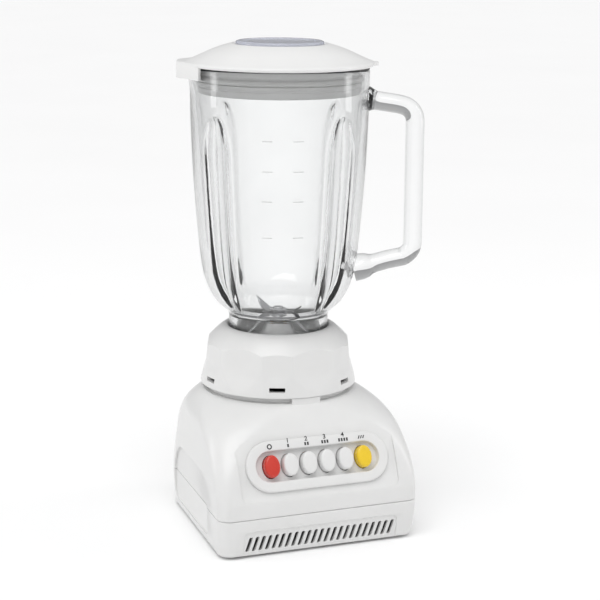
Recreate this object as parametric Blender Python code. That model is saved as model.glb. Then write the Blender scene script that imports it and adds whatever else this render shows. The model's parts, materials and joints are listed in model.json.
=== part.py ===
"""Countertop blender: a motor base with six push buttons and a 1.5 litre glass jug.

Lengths are in millimetres here and become metres where a mesh is made.
The origin is on the drive axis at table level, +Z is up, the buttons face -Y.
"""
import math

import bmesh
import bpy
from mathutils import Matrix, Vector

MM = 0.001
GAP = 0.3                      # clearance between pieces that touch

# Motor base
UNDERSIDE = 2.0                # the shell's floor stands this high on its feet
SEAM = 31.7                    # joint between the two housing shells
DECK = 109.5                   # top of the housing
DECK_RADIUS = 61.0
HALF_WIDTH = 83.5              # at the front; the sides close in towards the rear
FRONT = -95.0
REAR = 76.0
SIDE_TAPER = math.tan(math.radians(4.5))
WALL = 3.5
FRONT_CORNER = 11.0
REAR_CORNER = 29.0
CORNER_STEPS = 6
SPIGOT_RADIUS = 56.5           # ring on the deck that centres the collar
SPIGOT_TOP = 117.0
COUPLER_HOLE = 17.0
LUG_ANGLE = 22.0
LUG_REACH = 61.6
SIDE_RECESS_DEPTH = 1.8
BOSS_PLACES = ((73.4, -62.0), (64.6, 50.0))
FOOT_PLACES = ((62.0, -78.0), (52.0, 56.0))
MOTOR_POST_X = 37.0
INLET_HEIGHT = 19.0

# Front vents
VENT_COUNT = 23
VENT_PITCH = 5.38
VENT_WIDTH = 3.0
VENT_LEAN = 3.2
VENT_LOW = 5.6
VENT_HIGH = 17.4
VENT_PANEL_HALF = 64.0
VENT_PANEL_TOP = 22.0
VENT_PANEL_DEPTH = 1.0

# Control panel, in its own frame: x across, y up the slope, z out of the face
PANEL_TILT = 24.2
PANEL_CENTRE = (0.0, -83.4, 68.4)
PANEL_HALF = 65.5
FRAME_HALF = (59.0, 20.5)
FRAME_FACE = 3.0
RECESS_HALF = (51.0, 11.8)
RECESS_FLOOR = -1.5
RECESS_UNDER = -4.0
OPENING_HALF = (53.2, 13.9)
BUTTON_PITCH = 15.3
BUTTON_HALF = (6.2, 8.7)
BUTTON_FACE = 5.6
BUTTON_FOOT = -9.0
BUTTON_CLEARANCE = 0.45
STEM_FOOT = -20.0
SWITCH_TOP = -15.0
SWITCH_FOOT = -29.0

# Motor
SHAFT_RADIUS = 4.0
BORE_RADIUS = 4.35
SHAFT_LOW = 9.0
SHAFT_HIGH = 112.0
CORE_LOW = 50.0
CORE_HIGH = 80.0
CORE_HALF = (32.0, 28.0)
FIELD_BORE = 19.0
ARMATURE_RADIUS = 18.2
BOLT_X = 27.5
BRACKET_LOW = (24.0, 28.0)
BRACKET_HIGH = (92.0, 96.0)
BEARING_RADIUS = 7.0
BRUSH_HEIGHT = 38.0

# Drive coupling
COUPLING_TEETH = 6
COUPLING_OUTER = 10.5
COUPLING_ROOT = 6.8
COUPLING_CLEARANCE = 0.6
SOCKET_FLOOR = 114.0
SOCKET_TOP = 121.5
DRIVEN_LOW = 114.8

# Collar and jug; the jug stands turned on the base, its handle at HANDLE_TURN
HANDLE_TURN = -22.0
COLLAR_FOOT = 114.0
COLLAR_TOP = 160.3
COLLAR_BORE = 40.2
LEDGE_TOP = 143.0
LEDGE_UNDER = 140.0
LEDGE_BORE = 34.3
GRIP_FLATS = 6
FLAT_HALF_ANGLE = 12.0         # narrow flats, with wider ones between them
SLOT_LOW = 118.8
NECK_FOOT = 148.0
RIM = 366.0
FLUTE_DEPTH = 4.0
FLUTE_HALF_ANGLE = 12.0
FLUTE_LOW = 176.0
FLUTE_HIGH = 333.0
JUG_STEPS = 48
SPOUT_HALF_ANGLE = 24.0
SPOUT_LOW = 346.0
SPOUT_REACH = 5.0

# Lid
LID_RADIUS = 74.0
LID_UNDER = 366.4
LID_TOP = 382.6
LID_HOLE = 27.5
SPOUT_COVER_LOW = 357.0
CAP_RADIUS = 34.6
CAP_TOP = 385.3


def clear_scene():
    for old in list(bpy.data.objects):
        bpy.data.objects.remove(old, do_unlink=True)


def make_material(name, colour, roughness, metallic=0.0, transmission=0.0):
    mat = bpy.data.materials.new(name)
    mat.use_nodes = True
    shader = mat.node_tree.nodes["Principled BSDF"]
    shader.inputs["Base Color"].default_value = (*colour, 1.0)
    shader.inputs["Roughness"].default_value = roughness
    shader.inputs["Metallic"].default_value = metallic
    shader.inputs["Transmission Weight"].default_value = transmission
    mat.diffuse_color = (*colour, 1.0)
    return mat


def make_materials():
    return {
        "white": make_material("white_plastic", (0.86, 0.86, 0.85), 0.3),
        "red": make_material("red_plastic", (0.70, 0.06, 0.04), 0.3),
        "yellow": make_material("yellow_plastic", (0.85, 0.60, 0.03), 0.3),
        "dark": make_material("dark_plastic", (0.05, 0.05, 0.05), 0.5),
        "rubber": make_material("rubber", (0.08, 0.08, 0.08), 0.8),
        "seal": make_material("silicone", (0.75, 0.75, 0.73), 0.6),
        "glass": make_material("glass", (0.95, 0.97, 0.97), 0.03, 0.0, 1.0),
        "tinted": make_material("tinted_plastic", (0.62, 0.68, 0.80), 0.1, 0.0, 0.9),
        "steel": make_material("steel", (0.62, 0.62, 0.63), 0.25, 1.0),
        "iron": make_material("lamination_steel", (0.35, 0.35, 0.36), 0.5, 1.0),
        "copper": make_material("copper", (0.72, 0.35, 0.16), 0.35, 1.0),
        "bronze": make_material("sintered_bronze", (0.55, 0.40, 0.20), 0.5, 1.0),
        "carbon": make_material("carbon", (0.06, 0.06, 0.06), 0.6),
    }


def make_frame(name, location=(0.0, 0.0, 0.0), turn=0.0, tilt=0.0):
    """Empty that carries pieces; turn is about Z, tilt leans its Z axis over."""
    empty = bpy.data.objects.new(name, None)
    empty.location = Vector(location) * MM
    empty.rotation_euler = (math.radians(tilt), 0.0, math.radians(turn))
    bpy.context.scene.collection.objects.link(empty)
    return empty


def finish_mesh(name, bm, mat, parent):
    """Turn a bmesh in millimetres into an object."""
    bmesh.ops.recalc_face_normals(bm, faces=bm.faces)
    bmesh.ops.scale(bm, vec=(MM, MM, MM), verts=bm.verts)
    mesh = bpy.data.meshes.new(name)
    bm.to_mesh(mesh)
    bm.free()
    mesh.shade_smooth()
    mesh.set_sharp_from_angle(angle=math.radians(35))
    if mat:
        mesh.materials.append(mat)
    obj = bpy.data.objects.new(name, mesh)
    obj.parent = parent
    bpy.context.scene.collection.objects.link(obj)
    return obj


def turned(name, outline, mat, parent=None, steps=20, at=(0.0, 0.0)):
    """Solid of revolution about Z through at, from a closed (radius, height) outline."""
    bm = bmesh.new()
    verts = [bm.verts.new((r, 0.0, z)) for r, z in outline]
    edges = []
    for i, vert in enumerate(verts):
        if outline[i - 1][0] > 0.0 or outline[i][0] > 0.0:
            edges.append(bm.edges.new((verts[i - 1], vert)))
    bmesh.ops.spin(bm, geom=verts + edges, cent=(0, 0, 0), axis=(0, 0, 1),
                   angle=2 * math.pi, steps=steps, use_merge=True)
    bmesh.ops.remove_doubles(bm, verts=bm.verts, dist=0.001)
    bmesh.ops.translate(bm, vec=(at[0], at[1], 0.0), verts=bm.verts)
    return finish_mesh(name, bm, mat, parent)


def ring(name, inner, outer, low, high, mat, parent=None, steps=20, at=(0.0, 0.0)):
    outline = [(inner, low), (outer, low), (outer, high), (inner, high)]
    return turned(name, outline, mat, parent, steps, at)


def rod(name, radius, low, high, mat, parent=None, steps=16, at=(0.0, 0.0)):
    outline = [(0.0, low), (radius, low), (radius, high), (0.0, high)]
    return turned(name, outline, mat, parent, steps, at)


def add_skin(bm, rings):
    """Closed skin through rings of equal point count, capped at both ends."""
    loops = [[bm.verts.new(point) for point in points] for points in rings]
    for low, high in zip(loops, loops[1:]):
        for i, vert in enumerate(low):
            bm.faces.new((low[i - 1], vert, high[i], high[i - 1]))
    bm.faces.new(loops[0])
    bm.faces.new(loops[-1])


def lofted(name, rings, mat=None, parent=None):
    bm = bmesh.new()
    add_skin(bm, rings)
    return finish_mesh(name, bm, mat, parent)


def prism(name, outline, low, high, mat=None, parent=None):
    """Flat outline in x and y, extruded along z."""
    return prisms(name, [outline], low, high, mat, parent)


def prisms(name, outlines, low, high, mat=None, parent=None):
    """Separate prisms in one object, for use as a cutter."""
    bm = bmesh.new()
    for outline in outlines:
        add_skin(bm, [[(x, y, z) for x, y in outline] for z in (low, high)])
    return finish_mesh(name, bm, mat, parent)


def block(name, low, high, mat=None, parent=None):
    """Box from corner low to corner high."""
    outline = [(low[0], low[1]), (high[0], low[1]), (high[0], high[1]), (low[0], high[1])]
    return prism(name, outline, low[2], high[2], mat, parent)


def arc(centre, radii, start, end, steps):
    """Points of an elliptical arc, angles in degrees."""
    points = []
    for i in range(steps + 1):
        angle = math.radians(start + (end - start) * i / steps)
        points.append((centre[0] + radii[0] * math.cos(angle), centre[1] + radii[1] * math.sin(angle)))
    return points


def stadium(half, centre=(0.0, 0.0), steps=8):
    """Long slot outline with round ends, half = (half length, half height)."""
    radii = (half[1], half[1])
    reach = half[0] - half[1]
    right = arc((centre[0] + reach, centre[1]), radii, -90.0, 90.0, steps)
    left = arc((centre[0] - reach, centre[1]), radii, 90.0, 270.0, steps)
    return right + left


def oval(half, centre=(0.0, 0.0), steps=16):
    return arc(centre, half, 0.0, 360.0 - 360.0 / steps, steps - 1)


def star(outer, root):
    """Outline of the coupling: straight-sided teeth between two radii."""
    points = []
    for tooth in range(COUPLING_TEETH):
        middle = 360.0 / COUPLING_TEETH * tooth
        for offset, radius in ((-18.0, root), (-11.0, outer), (11.0, outer), (18.0, root)):
            angle = math.radians(middle + offset)
            points.append((radius * math.cos(angle), radius * math.sin(angle)))
    return points


def hide_tool(obj):
    obj.hide_render = True
    obj.display_type = "WIRE"


def apply_tool(target, tool, operation):
    """Boolean of target with tool; the tool stays in the file as a hidden guide."""
    hide_tool(tool)
    mod = target.modifiers.new(tool.name, "BOOLEAN")
    mod.operation = operation
    mod.object = tool
    mod.solver = "EXACT"


def cut(target, *tools):
    for tool in tools:
        apply_tool(target, tool, "DIFFERENCE")


def fuse(target, *tools):
    for tool in tools:
        apply_tool(target, tool, "UNION")


# ---------------------------------------------------------------- motor base

def rise(z, start, power):
    """0 below start, 1 at the deck, along a power curve."""
    return max(0.0, (z - start) / (DECK - start)) ** power


def plan(half_width, front, rear, front_corner, rear_corner, taper, z):
    """One horizontal section of the base: a rounded box that narrows to the rear."""
    corners = (
        (half_width - rear_corner, rear - rear_corner, rear_corner, 0.0),
        (rear_corner - half_width, rear - rear_corner, rear_corner, 90.0),
        (front_corner - half_width, front + front_corner, front_corner, 180.0),
        (half_width - front_corner, front + front_corner, front_corner, 270.0),
    )
    points = []
    for cx, cy, radius, start in corners:
        points += arc((cx, cy), (radius, radius), start, start + 90.0, CORNER_STEPS)
    return [(x * (1.0 - taper * (y - front) / half_width), y, z) for x, y in points]


def upper_section(z, inset=0.0, level=None):
    """Section of the upper shell: box below, full circle at the deck."""
    half_width = HALF_WIDTH - (HALF_WIDTH - DECK_RADIUS) * rise(z, 73.6, 3.6)
    front = FRONT + (-DECK_RADIUS - FRONT) * rise(z, 42.4, 1.4)
    rear = REAR + (DECK_RADIUS - REAR) * rise(z, 40.0, 1.15)
    front_corner = FRONT_CORNER + (DECK_RADIUS - FRONT_CORNER) * rise(z, 45.7, 2.0)
    rear_corner = REAR_CORNER + (DECK_RADIUS - REAR_CORNER) * rise(z, SEAM, 1.5)
    taper = SIDE_TAPER * (1.0 - rise(z, 73.6, 3.6))
    return plan(half_width - inset, front + inset, rear - inset, front_corner - inset,
                rear_corner - inset, taper, z if level is None else level)


def lower_section(z, inset=0.0, level=None):
    """Section of the lower shell, which draws in towards the floor."""
    drop = ((SEAM - z) / SEAM) ** 2.2
    side = inset + 2.4 * drop
    return plan(HALF_WIDTH - side, FRONT + inset + 4.0 * drop, REAR - side, FRONT_CORNER - inset,
                REAR_CORNER - inset, SIDE_TAPER, z if level is None else level)


def side_recess_tool(name, side):
    """Cutter for the shallow arched field on one side of the base."""
    outline = arc((-26.0, 29.0), (30.0, 28.0), 180.0, 90.0, 8)
    outline += arc((22.0, 29.0), (26.0, 28.0), 90.0, 0.0, 8)
    outline += arc((40.0, 16.0), (8.0, 8.0), 0.0, -90.0, 3)
    outline += arc((-48.0, 16.0), (8.0, 8.0), 270.0, 180.0, 3)
    inner = HALF_WIDTH - SIDE_RECESS_DEPTH
    rings = [
        [(side * (inner - SIDE_TAPER * (y - FRONT)), y, z) for y, z in outline],
        [(side * (HALF_WIDTH + 9.0), y, z) for y, z in outline],
    ]
    return lofted(name, rings)


def panel_outline():
    """Flat control panel: square above, rounded corners below."""
    low, high, radius = -26.0, 34.0, 6.0
    outline = [(PANEL_HALF, high), (-PANEL_HALF, high)]
    outline += arc((radius - PANEL_HALF, low + radius), (radius, radius), 180.0, 270.0, 4)
    outline += arc((PANEL_HALF - radius, low + radius), (radius, radius), 270.0, 360.0, 4)
    return outline


def make_upper_housing(mats, panel):
    levels = (SEAM + 0.2, 46.0, 54.0, 62.0, 70.0, 78.0, 85.0, 91.0, 96.0, 100.0, 103.5, 106.5, 108.5, DECK)
    shell = lofted("upper_housing", [upper_section(z) for z in levels], mats["white"])
    inner_levels = (45.0, 54.0, 63.0, 72.0, 80.0, 88.0, 95.0, 100.0, 103.0)
    inside = [upper_section(SEAM, WALL, SEAM - 5.0)]
    inside += [upper_section(z + WALL, WALL, z) for z in inner_levels]
    cut(shell, lofted("tool_upper_inside", inside))
    for x, y in BOSS_PLACES:
        for side in (-1.0, 1.0):
            at = (side * x, y)
            tag = f"{at[0]:.0f}_{y:.0f}"
            fuse(shell, rod(f"tool_boss_{tag}", 4.6, SEAM + 0.2, 58.0, None, steps=16, at=at))
            cut(shell, rod(f"tool_pilot_{tag}", 1.9, SEAM - 5.0, 48.0, None, steps=10, at=at))
    cut(shell, rod("tool_coupler_hole", COUPLER_HOLE, 90.0, 130.0, None, steps=24))
    cut(shell, prism("tool_panel", panel_outline(), 0.0, 30.0, None, panel))
    cut(shell, prism("tool_panel_opening", stadium(OPENING_HALF), -14.0, 8.0, None, panel))
    for side in (-1.0, 1.0):
        cut(shell, side_recess_tool(f"tool_upper_recess_{side:.0f}", side))
    return shell


def make_deck_ring(mats):
    """Ring that centres the collar on the deck, with three lugs that carry it."""
    foot = DECK + GAP
    inside = SPIGOT_RADIUS - 3.0
    root = SPIGOT_RADIUS - 1.5
    half = LUG_ANGLE / 2.0
    deck_ring = ring("deck_ring", inside, SPIGOT_RADIUS, foot, SPIGOT_TOP, mats["white"], steps=36)
    for turn in (-90.0, 30.0, 150.0):
        outer = arc((0.0, 0.0), (LUG_REACH, LUG_REACH), turn - half, turn + half, 4)
        inner = arc((0.0, 0.0), (root, root), turn + half, turn - half, 4)
        fuse(deck_ring, prism(f"tool_lug_{turn:.0f}", outer + inner, foot, COLLAR_FOOT - GAP))


def vent_outlines():
    """The front slots, seen from the front in x and z; their tops lean to the right."""
    outlines = []
    for i in range(VENT_COUNT):
        middle = (i - (VENT_COUNT - 1) / 2.0) * VENT_PITCH
        low = middle - VENT_LEAN / 2.0
        high = middle + VENT_LEAN / 2.0
        half = VENT_WIDTH / 2.0
        outlines.append([(low - half, VENT_LOW), (low + half, VENT_LOW),
                         (high + half, VENT_HIGH), (high - half, VENT_HIGH)])
    return outlines


def make_vent_tools():
    upright = make_frame("vent_axis", tilt=90.0)
    slots = prisms("tool_vents", vent_outlines(), 80.0, 105.0, None, upright)
    heights = (-3.0, UNDERSIDE, 4.0, 7.0, 11.0, 16.0, VENT_PANEL_TOP)
    curve = []
    for z in heights:
        drop = ((SEAM - max(z, UNDERSIDE)) / SEAM) ** 2.2
        curve.append((FRONT + 4.0 * drop + VENT_PANEL_DEPTH, z))
    outline = curve + [(FRONT - 8.0, VENT_PANEL_TOP), (FRONT - 8.0, heights[0])]
    rings = [[(x, y, z) for y, z in outline] for x in (-VENT_PANEL_HALF, VENT_PANEL_HALF)]
    return lofted("tool_vent_panel", rings), slots


def spokes(count, near, far, half):
    """Outlines of straight radial bars or slots."""
    outlines = []
    for i in range(count):
        turn = Matrix.Rotation(2.0 * math.pi * i / count, 2)
        corners = ((near, -half), (far, -half), (far, half), (near, half))
        outlines.append([tuple(turn @ Vector(corner)) for corner in corners])
    return outlines


def make_bottom_housing(mats):
    top = SEAM - 0.2
    heights = (UNDERSIDE + 1.6, 7.0, 12.0, 18.0, 25.0, top)
    rings = [lower_section(UNDERSIDE, 1.8)] + [lower_section(z) for z in heights]
    shell = lofted("bottom_housing", rings, mats["white"])
    floor = UNDERSIDE + 3.0
    inside = [lower_section(floor, WALL + 0.6), lower_section(12.0, WALL),
              lower_section(SEAM - 0.01, WALL, SEAM + 5.0)]
    cut(shell, lofted("tool_lower_inside", inside))
    for x, y in BOSS_PLACES:
        for side in (-1.0, 1.0):
            at = (side * x, y)
            tag = f"{at[0]:.0f}_{y:.0f}"
            fuse(shell, rod(f"tool_post_{tag}", 5.4, floor - 1.0, top, None, steps=16, at=at))
            cut(shell, rod(f"tool_screw_bore_{tag}", 2.0, -3.0, 40.0, None, steps=10, at=at))
            cut(shell, rod(f"tool_screw_head_{tag}", 4.0, -3.0, 8.0, None, steps=12, at=at))
    for side in (-1.0, 1.0):
        at = (side * MOTOR_POST_X, 0.0)
        post_top = BRACKET_LOW[0] - GAP
        fuse(shell, rod(f"tool_motor_post_{side:.0f}", 4.5, floor - 1.0, post_top, None, steps=16, at=at))
    for x, y in FOOT_PLACES:
        for side in (-1.0, 1.0):
            at = (side * x, y)
            cut(shell, rod(f"tool_foot_{at[0]:.0f}_{y:.0f}", 2.9, -3.0, 9.0, None, steps=12, at=at))
    panel, slots = make_vent_tools()
    cut(shell, panel, slots)
    cut(shell, prisms("tool_intake", spokes(14, 16.0, 31.0, 1.5), -2.0, floor + 2.0))
    inlet_axis = make_frame("inlet_axis", (0.0, REAR - 9.0, INLET_HEIGHT), tilt=-90.0)
    cut(shell, rod("tool_inlet", 6.3, 0.0, 20.0, None, inlet_axis, 16))
    for side in (-1.0, 1.0):
        cut(shell, side_recess_tool(f"tool_lower_recess_{side:.0f}", side))
    return inlet_axis


def make_cord_inlet(mats, axis):
    """Collar that lines the empty cord hole in the rear wall."""
    outline = [(3.4, 2.6), (8.0, 2.6), (8.0, 4.1), (5.9, 4.1), (5.9, 9.4), (8.0, 9.4), (8.0, 11.0),
               (3.4, 11.0)]
    turned("cord_inlet", outline, mats["dark"], axis, 16)


def make_feet_and_screws(mats):
    ends = ("front", "rear")
    sides = (("left", -1.0), ("right", 1.0))
    foot = [(0.0, 0.0), (6.4, 0.0), (7.0, 0.6), (7.0, UNDERSIDE - GAP), (2.5, UNDERSIDE - GAP),
            (2.5, 6.4), (0.0, 6.4)]
    screw = [(0.0, 5.4), (3.6, 5.4), (3.6, 7.7), (1.6, 7.7), (1.6, 44.0), (0.0, 46.0)]
    for end, (x, y) in zip(ends, FOOT_PLACES):
        for word, side in sides:
            turned(f"foot_{end}_{word}", foot, mats["rubber"], None, 16, (side * x, y))
    for end, (x, y) in zip(ends, BOSS_PLACES):
        for word, side in sides:
            turned(f"housing_screw_{end}_{word}", screw, mats["steel"], None, 10, (side * x, y))


# ---------------------------------------------------------------- controls

def button_places():
    names = ("off", "speed_1", "speed_2", "speed_3", "speed_4", "pulse")
    return [(name, (i - 2.5) * BUTTON_PITCH) for i, name in enumerate(names)]


def make_control_frame(mats, panel):
    """Raised plate round the recess, and the recess with its six holes."""
    plate = prism("control_frame", stadium(FRAME_HALF, steps=10), GAP, FRAME_FACE, mats["white"], panel)
    well = (OPENING_HALF[0] - GAP * 2, OPENING_HALF[1] - GAP * 2)
    fuse(plate, prism("tool_well", stadium(well), RECESS_UNDER, FRAME_FACE - 1.0, None, panel))
    cut(plate, prism("tool_recess", stadium(RECESS_HALF), RECESS_FLOOR, 10.0, None, panel))
    hole = (BUTTON_HALF[0] + BUTTON_CLEARANCE, BUTTON_HALF[1] + BUTTON_CLEARANCE)
    holes = [oval(hole, (x, 0.0)) for _, x in button_places()]
    cut(plate, prisms("tool_button_holes", holes, -12.0, 6.0, None, panel))


def make_buttons(mats, panel):
    colours = {"off": "red", "pulse": "yellow"}
    stem = 2.0
    for name, x in button_places():
        edge = [(BUTTON_FOOT, 0.0), (BUTTON_FACE - 1.6, 0.0), (BUTTON_FACE - 0.5, 0.5), (BUTTON_FACE, 1.7)]
        rings = []
        for height, inset in edge:
            half = (BUTTON_HALF[0] - inset, BUTTON_HALF[1] - inset)
            rings.append([(px, py, height) for px, py in oval(half, (x, 0.0))])
        cap = lofted(f"button_{name}", rings, mats[colours.get(name, "white")], panel)
        low, high = (x - stem, -stem, STEM_FOOT), (x + stem, stem, BUTTON_FOOT + 2.0)
        fuse(cap, block(f"tool_stem_{name}", low, high, None, panel))


def make_switch(mats, panel):
    """Interlocked switch bank behind the buttons, with a socket for each stem."""
    reach = 2.5 * BUTTON_PITCH + 9.0
    body = block("switch_body", (-reach, -8.0, SWITCH_FOOT), (reach, 8.0, SWITCH_TOP), mats["dark"], panel)
    room = 2.5
    sockets = []
    for _, x in button_places():
        sockets.append([(x - room, -room), (x + room, -room), (x + room, room), (x - room, room)])
    cut(body, prisms("tool_sockets", sockets, -26.5, -10.0, None, panel))


# ---------------------------------------------------------------- motor

def make_bracket(name, mats, bar, legs, reach, brush_arms):
    """Cross bar with a bearing hole, and two legs that clamp the field core."""
    low, high = bar
    bracket = block(name, (-reach, -9.0, low), (reach, 9.0, high), mats["steel"])
    if brush_arms:
        fuse(bracket, block("tool_" + name + "_arms", (-8.0, -26.0, low), (8.0, 26.0, high)))
    for side in (-1.0, 1.0):
        leg = (side * BOLT_X - 4.5, side * BOLT_X + 4.5)
        fuse(bracket, block(f"tool_{name}_leg_{side:.0f}", (leg[0], -7.0, legs[0]), (leg[1], 7.0, legs[1])))
    bores = [oval((BEARING_RADIUS + GAP, BEARING_RADIUS + GAP), steps=16)]
    bores += [oval((2.2, 2.2), (side * BOLT_X, 0.0), 8) for side in (-1.0, 1.0)]
    cut(bracket, prisms(f"tool_{name}_bores", bores, min(low, legs[0]) - 5.0, max(high, legs[1]) + 5.0))


def make_field(mats):
    corner = (-CORE_HALF[0], -CORE_HALF[1], CORE_LOW)
    core = block("field_core", corner, (*CORE_HALF, CORE_HIGH), mats["iron"])
    cut(core, rod("tool_field_bore", FIELD_BORE, CORE_LOW - 3.0, CORE_HIGH + 3.0, None, steps=28))
    bolts = [oval((2.2, 2.2), (side * BOLT_X, 0.0), 10) for side in (-1.0, 1.0)]
    cut(core, prisms("tool_field_bolts", bolts, CORE_LOW - 3.0, CORE_HIGH + 3.0))
    for word, side in (("front", -1.0), ("rear", 1.0)):
        y = (side * (CORE_HALF[1] + GAP), side * (CORE_HALF[1] + 8.0))
        low = (-20.0, min(y), CORE_LOW - 6.0)
        high = (20.0, max(y), CORE_HIGH + 6.0)
        coil = block(f"field_coil_{word}", low, high, mats["copper"])
        for end, z in (("low", CORE_LOW), ("high", CORE_HIGH)):
            away = -1.0 if end == "low" else 1.0
            span = sorted((z + away * GAP, z + away * 6.0))
            inner = sorted((side * 21.0, side * (CORE_HALF[1] + 2.0)))
            low, high = (-20.0, inner[0], span[0]), (20.0, inner[1], span[1])
            fuse(coil, block(f"tool_coil_{word}_{end}", low, high))
    for word, side in (("left", -1.0), ("right", 1.0)):
        outline = [(0.0, 20.5), (3.6, 20.5), (3.6, 23.5), (1.8, 23.5), (1.8, 99.0), (0.0, 99.0)]
        turned(f"motor_bolt_{word}", outline, mats["steel"], None, 10, (side * BOLT_X, 0.0))


def make_brushes(mats):
    foot = BRACKET_LOW[1] + GAP
    for word, side in (("front", -1.0), ("rear", 1.0)):
        body = sorted((side * 12.6, side * 25.6))
        low, high = (-5.4, body[0], foot), (5.4, body[1], BRUSH_HEIGHT + 5.4)
        holder = block(f"brush_holder_{word}", low, high, mats["bronze"])
        channel = sorted((side * 10.6, side * 27.6))
        low, high = (-3.2, channel[0], BRUSH_HEIGHT - 3.2), (3.2, channel[1], BRUSH_HEIGHT + 3.2)
        cut(holder, block(f"tool_brush_{word}", low, high))
        brush = sorted((side * 11.4, side * 23.0))
        low, high = (-2.8, brush[0], BRUSH_HEIGHT - 2.8), (2.8, brush[1], BRUSH_HEIGHT + 2.8)
        block(f"carbon_brush_{word}", low, high, mats["carbon"])


def make_rotor(mats):
    """Everything that spins in the base, at the angle where its coupler meets the blades' one."""
    axis = make_frame("rotor_axis", turn=HANDLE_TURN)
    rod("motor_shaft", SHAFT_RADIUS, SHAFT_LOW, SHAFT_HIGH, mats["steel"], axis)
    low, high = CORE_LOW + 1.0, CORE_HIGH - 1.0
    ring("armature_core", BORE_RADIUS, ARMATURE_RADIUS, low, high, mats["iron"], axis, 28)
    ring("armature_winding_lower", BORE_RADIUS, 14.5, low - 5.5, low - GAP, mats["copper"], axis)
    ring("armature_winding_upper", BORE_RADIUS, 14.5, high + GAP, high + 7.0, mats["copper"], axis)
    ring("commutator", BORE_RADIUS, 11.0, BRUSH_HEIGHT - 6.0, BRUSH_HEIGHT + 7.0, mats["copper"], axis)
    make_fan(mats, axis)
    coupler = ring("drive_coupler", BORE_RADIUS, 14.5, 106.3, SOCKET_TOP, mats["dark"], axis)
    socket = star(COUPLING_OUTER + COUPLING_CLEARANCE, COUPLING_ROOT + COUPLING_CLEARANCE)
    cut(coupler, prism("tool_socket", socket, SOCKET_FLOOR, SOCKET_TOP + 5.0, None, axis))


def make_fan(mats, axis):
    hub = ring("cooling_fan", BORE_RADIUS, 8.0, 11.0, 20.0, mats["dark"], axis)
    fuse(hub, ring("tool_fan_disc", 6.0, 30.0, 18.0, 19.6, None, axis))
    fuse(hub, prisms("tool_fan_blades", spokes(8, 7.0, 29.0, 0.7), 11.5, 18.6, None, axis))


def make_motor(mats):
    low_legs = (BRACKET_LOW[0], CORE_LOW - GAP)
    high_legs = (CORE_HIGH + GAP, BRACKET_HIGH[1])
    make_bracket("motor_bracket_lower", mats, BRACKET_LOW, low_legs, 42.0, True)
    make_bracket("motor_bracket_upper", mats, BRACKET_HIGH, high_legs, 33.0, False)
    ring("bearing_lower", BORE_RADIUS, BEARING_RADIUS, 22.5, 29.5, mats["bronze"], steps=16)
    ring("bearing_upper", BORE_RADIUS, BEARING_RADIUS, 90.5, 97.5, mats["bronze"], steps=16)
    ring("shaft_seal", 5.2, 20.0, 100.6, 102.6, mats["rubber"])
    make_field(mats)
    make_brushes(mats)
    make_rotor(mats)


# ---------------------------------------------------------------- collar and blades

def make_collar(mats, turned_jug):
    outline = [(62.3, COLLAR_FOOT), (61.5, 119.0), (60.0, 131.9), (58.9, 145.2), (58.2, 146.8),
               (54.2, 151.2), (50.0, 155.4), (46.5, 158.6), (44.0, 160.0), (42.0, COLLAR_TOP),
               (COLLAR_BORE, COLLAR_TOP - 0.9), (COLLAR_BORE, LEDGE_TOP), (LEDGE_BORE, LEDGE_TOP),
               (LEDGE_BORE, LEDGE_UNDER), (51.0, LEDGE_UNDER), (53.0, 132.0), (54.6, 124.0), (57.0, 120.0),
               (58.4, COLLAR_FOOT)]
    collar = turned("collar", outline, mats["white"], turned_jug, 48)
    flats = bmesh.new()
    slots = bmesh.new()
    for i in range(GRIP_FLATS):
        middle = 360.0 / GRIP_FLATS * i - 90.0
        for turn, half_angle in ((middle, FLAT_HALF_ANGLE), (middle + 30.0, 30.0 - FLAT_HALF_ANGLE)):
            add_skin(flats, flat_cutter(turn, half_angle))
        spin = Matrix.Rotation(math.radians(middle), 3, "Z")
        add_skin(slots, [radial_box(spin, 50.0, 6.2, z) for z in (SLOT_LOW, SLOT_LOW + 3.6)])
    cut(collar, finish_mesh("tool_grip_flats", flats, None, turned_jug))
    cut(collar, finish_mesh("tool_collar_slots", slots, None, turned_jug))


def flat_cutter(turn, half_angle):
    """Sloped block that planes one grip flat; neighbouring blocks meet at the flat's edges."""
    spin = Matrix.Rotation(math.radians(turn), 3, "Z")
    rings = []
    for corner, z in ((61.0, 125.0), (58.7, 147.5)):
        near = corner * math.cos(math.radians(half_angle))
        half = corner * math.sin(math.radians(half_angle)) - 0.15
        rings.append(radial_box(spin, near, half, z))
    return rings


def radial_box(spin, near, half, z):
    """Quadrilateral from radius near, 2 * half wide there, out past the collar."""
    far = 72.0
    wide = half * far / near
    corners = ((near, -half, z), (far, -wide, z), (far, wide, z), (near, half, z))
    return [tuple(spin @ Vector(corner)) for corner in corners]


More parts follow.
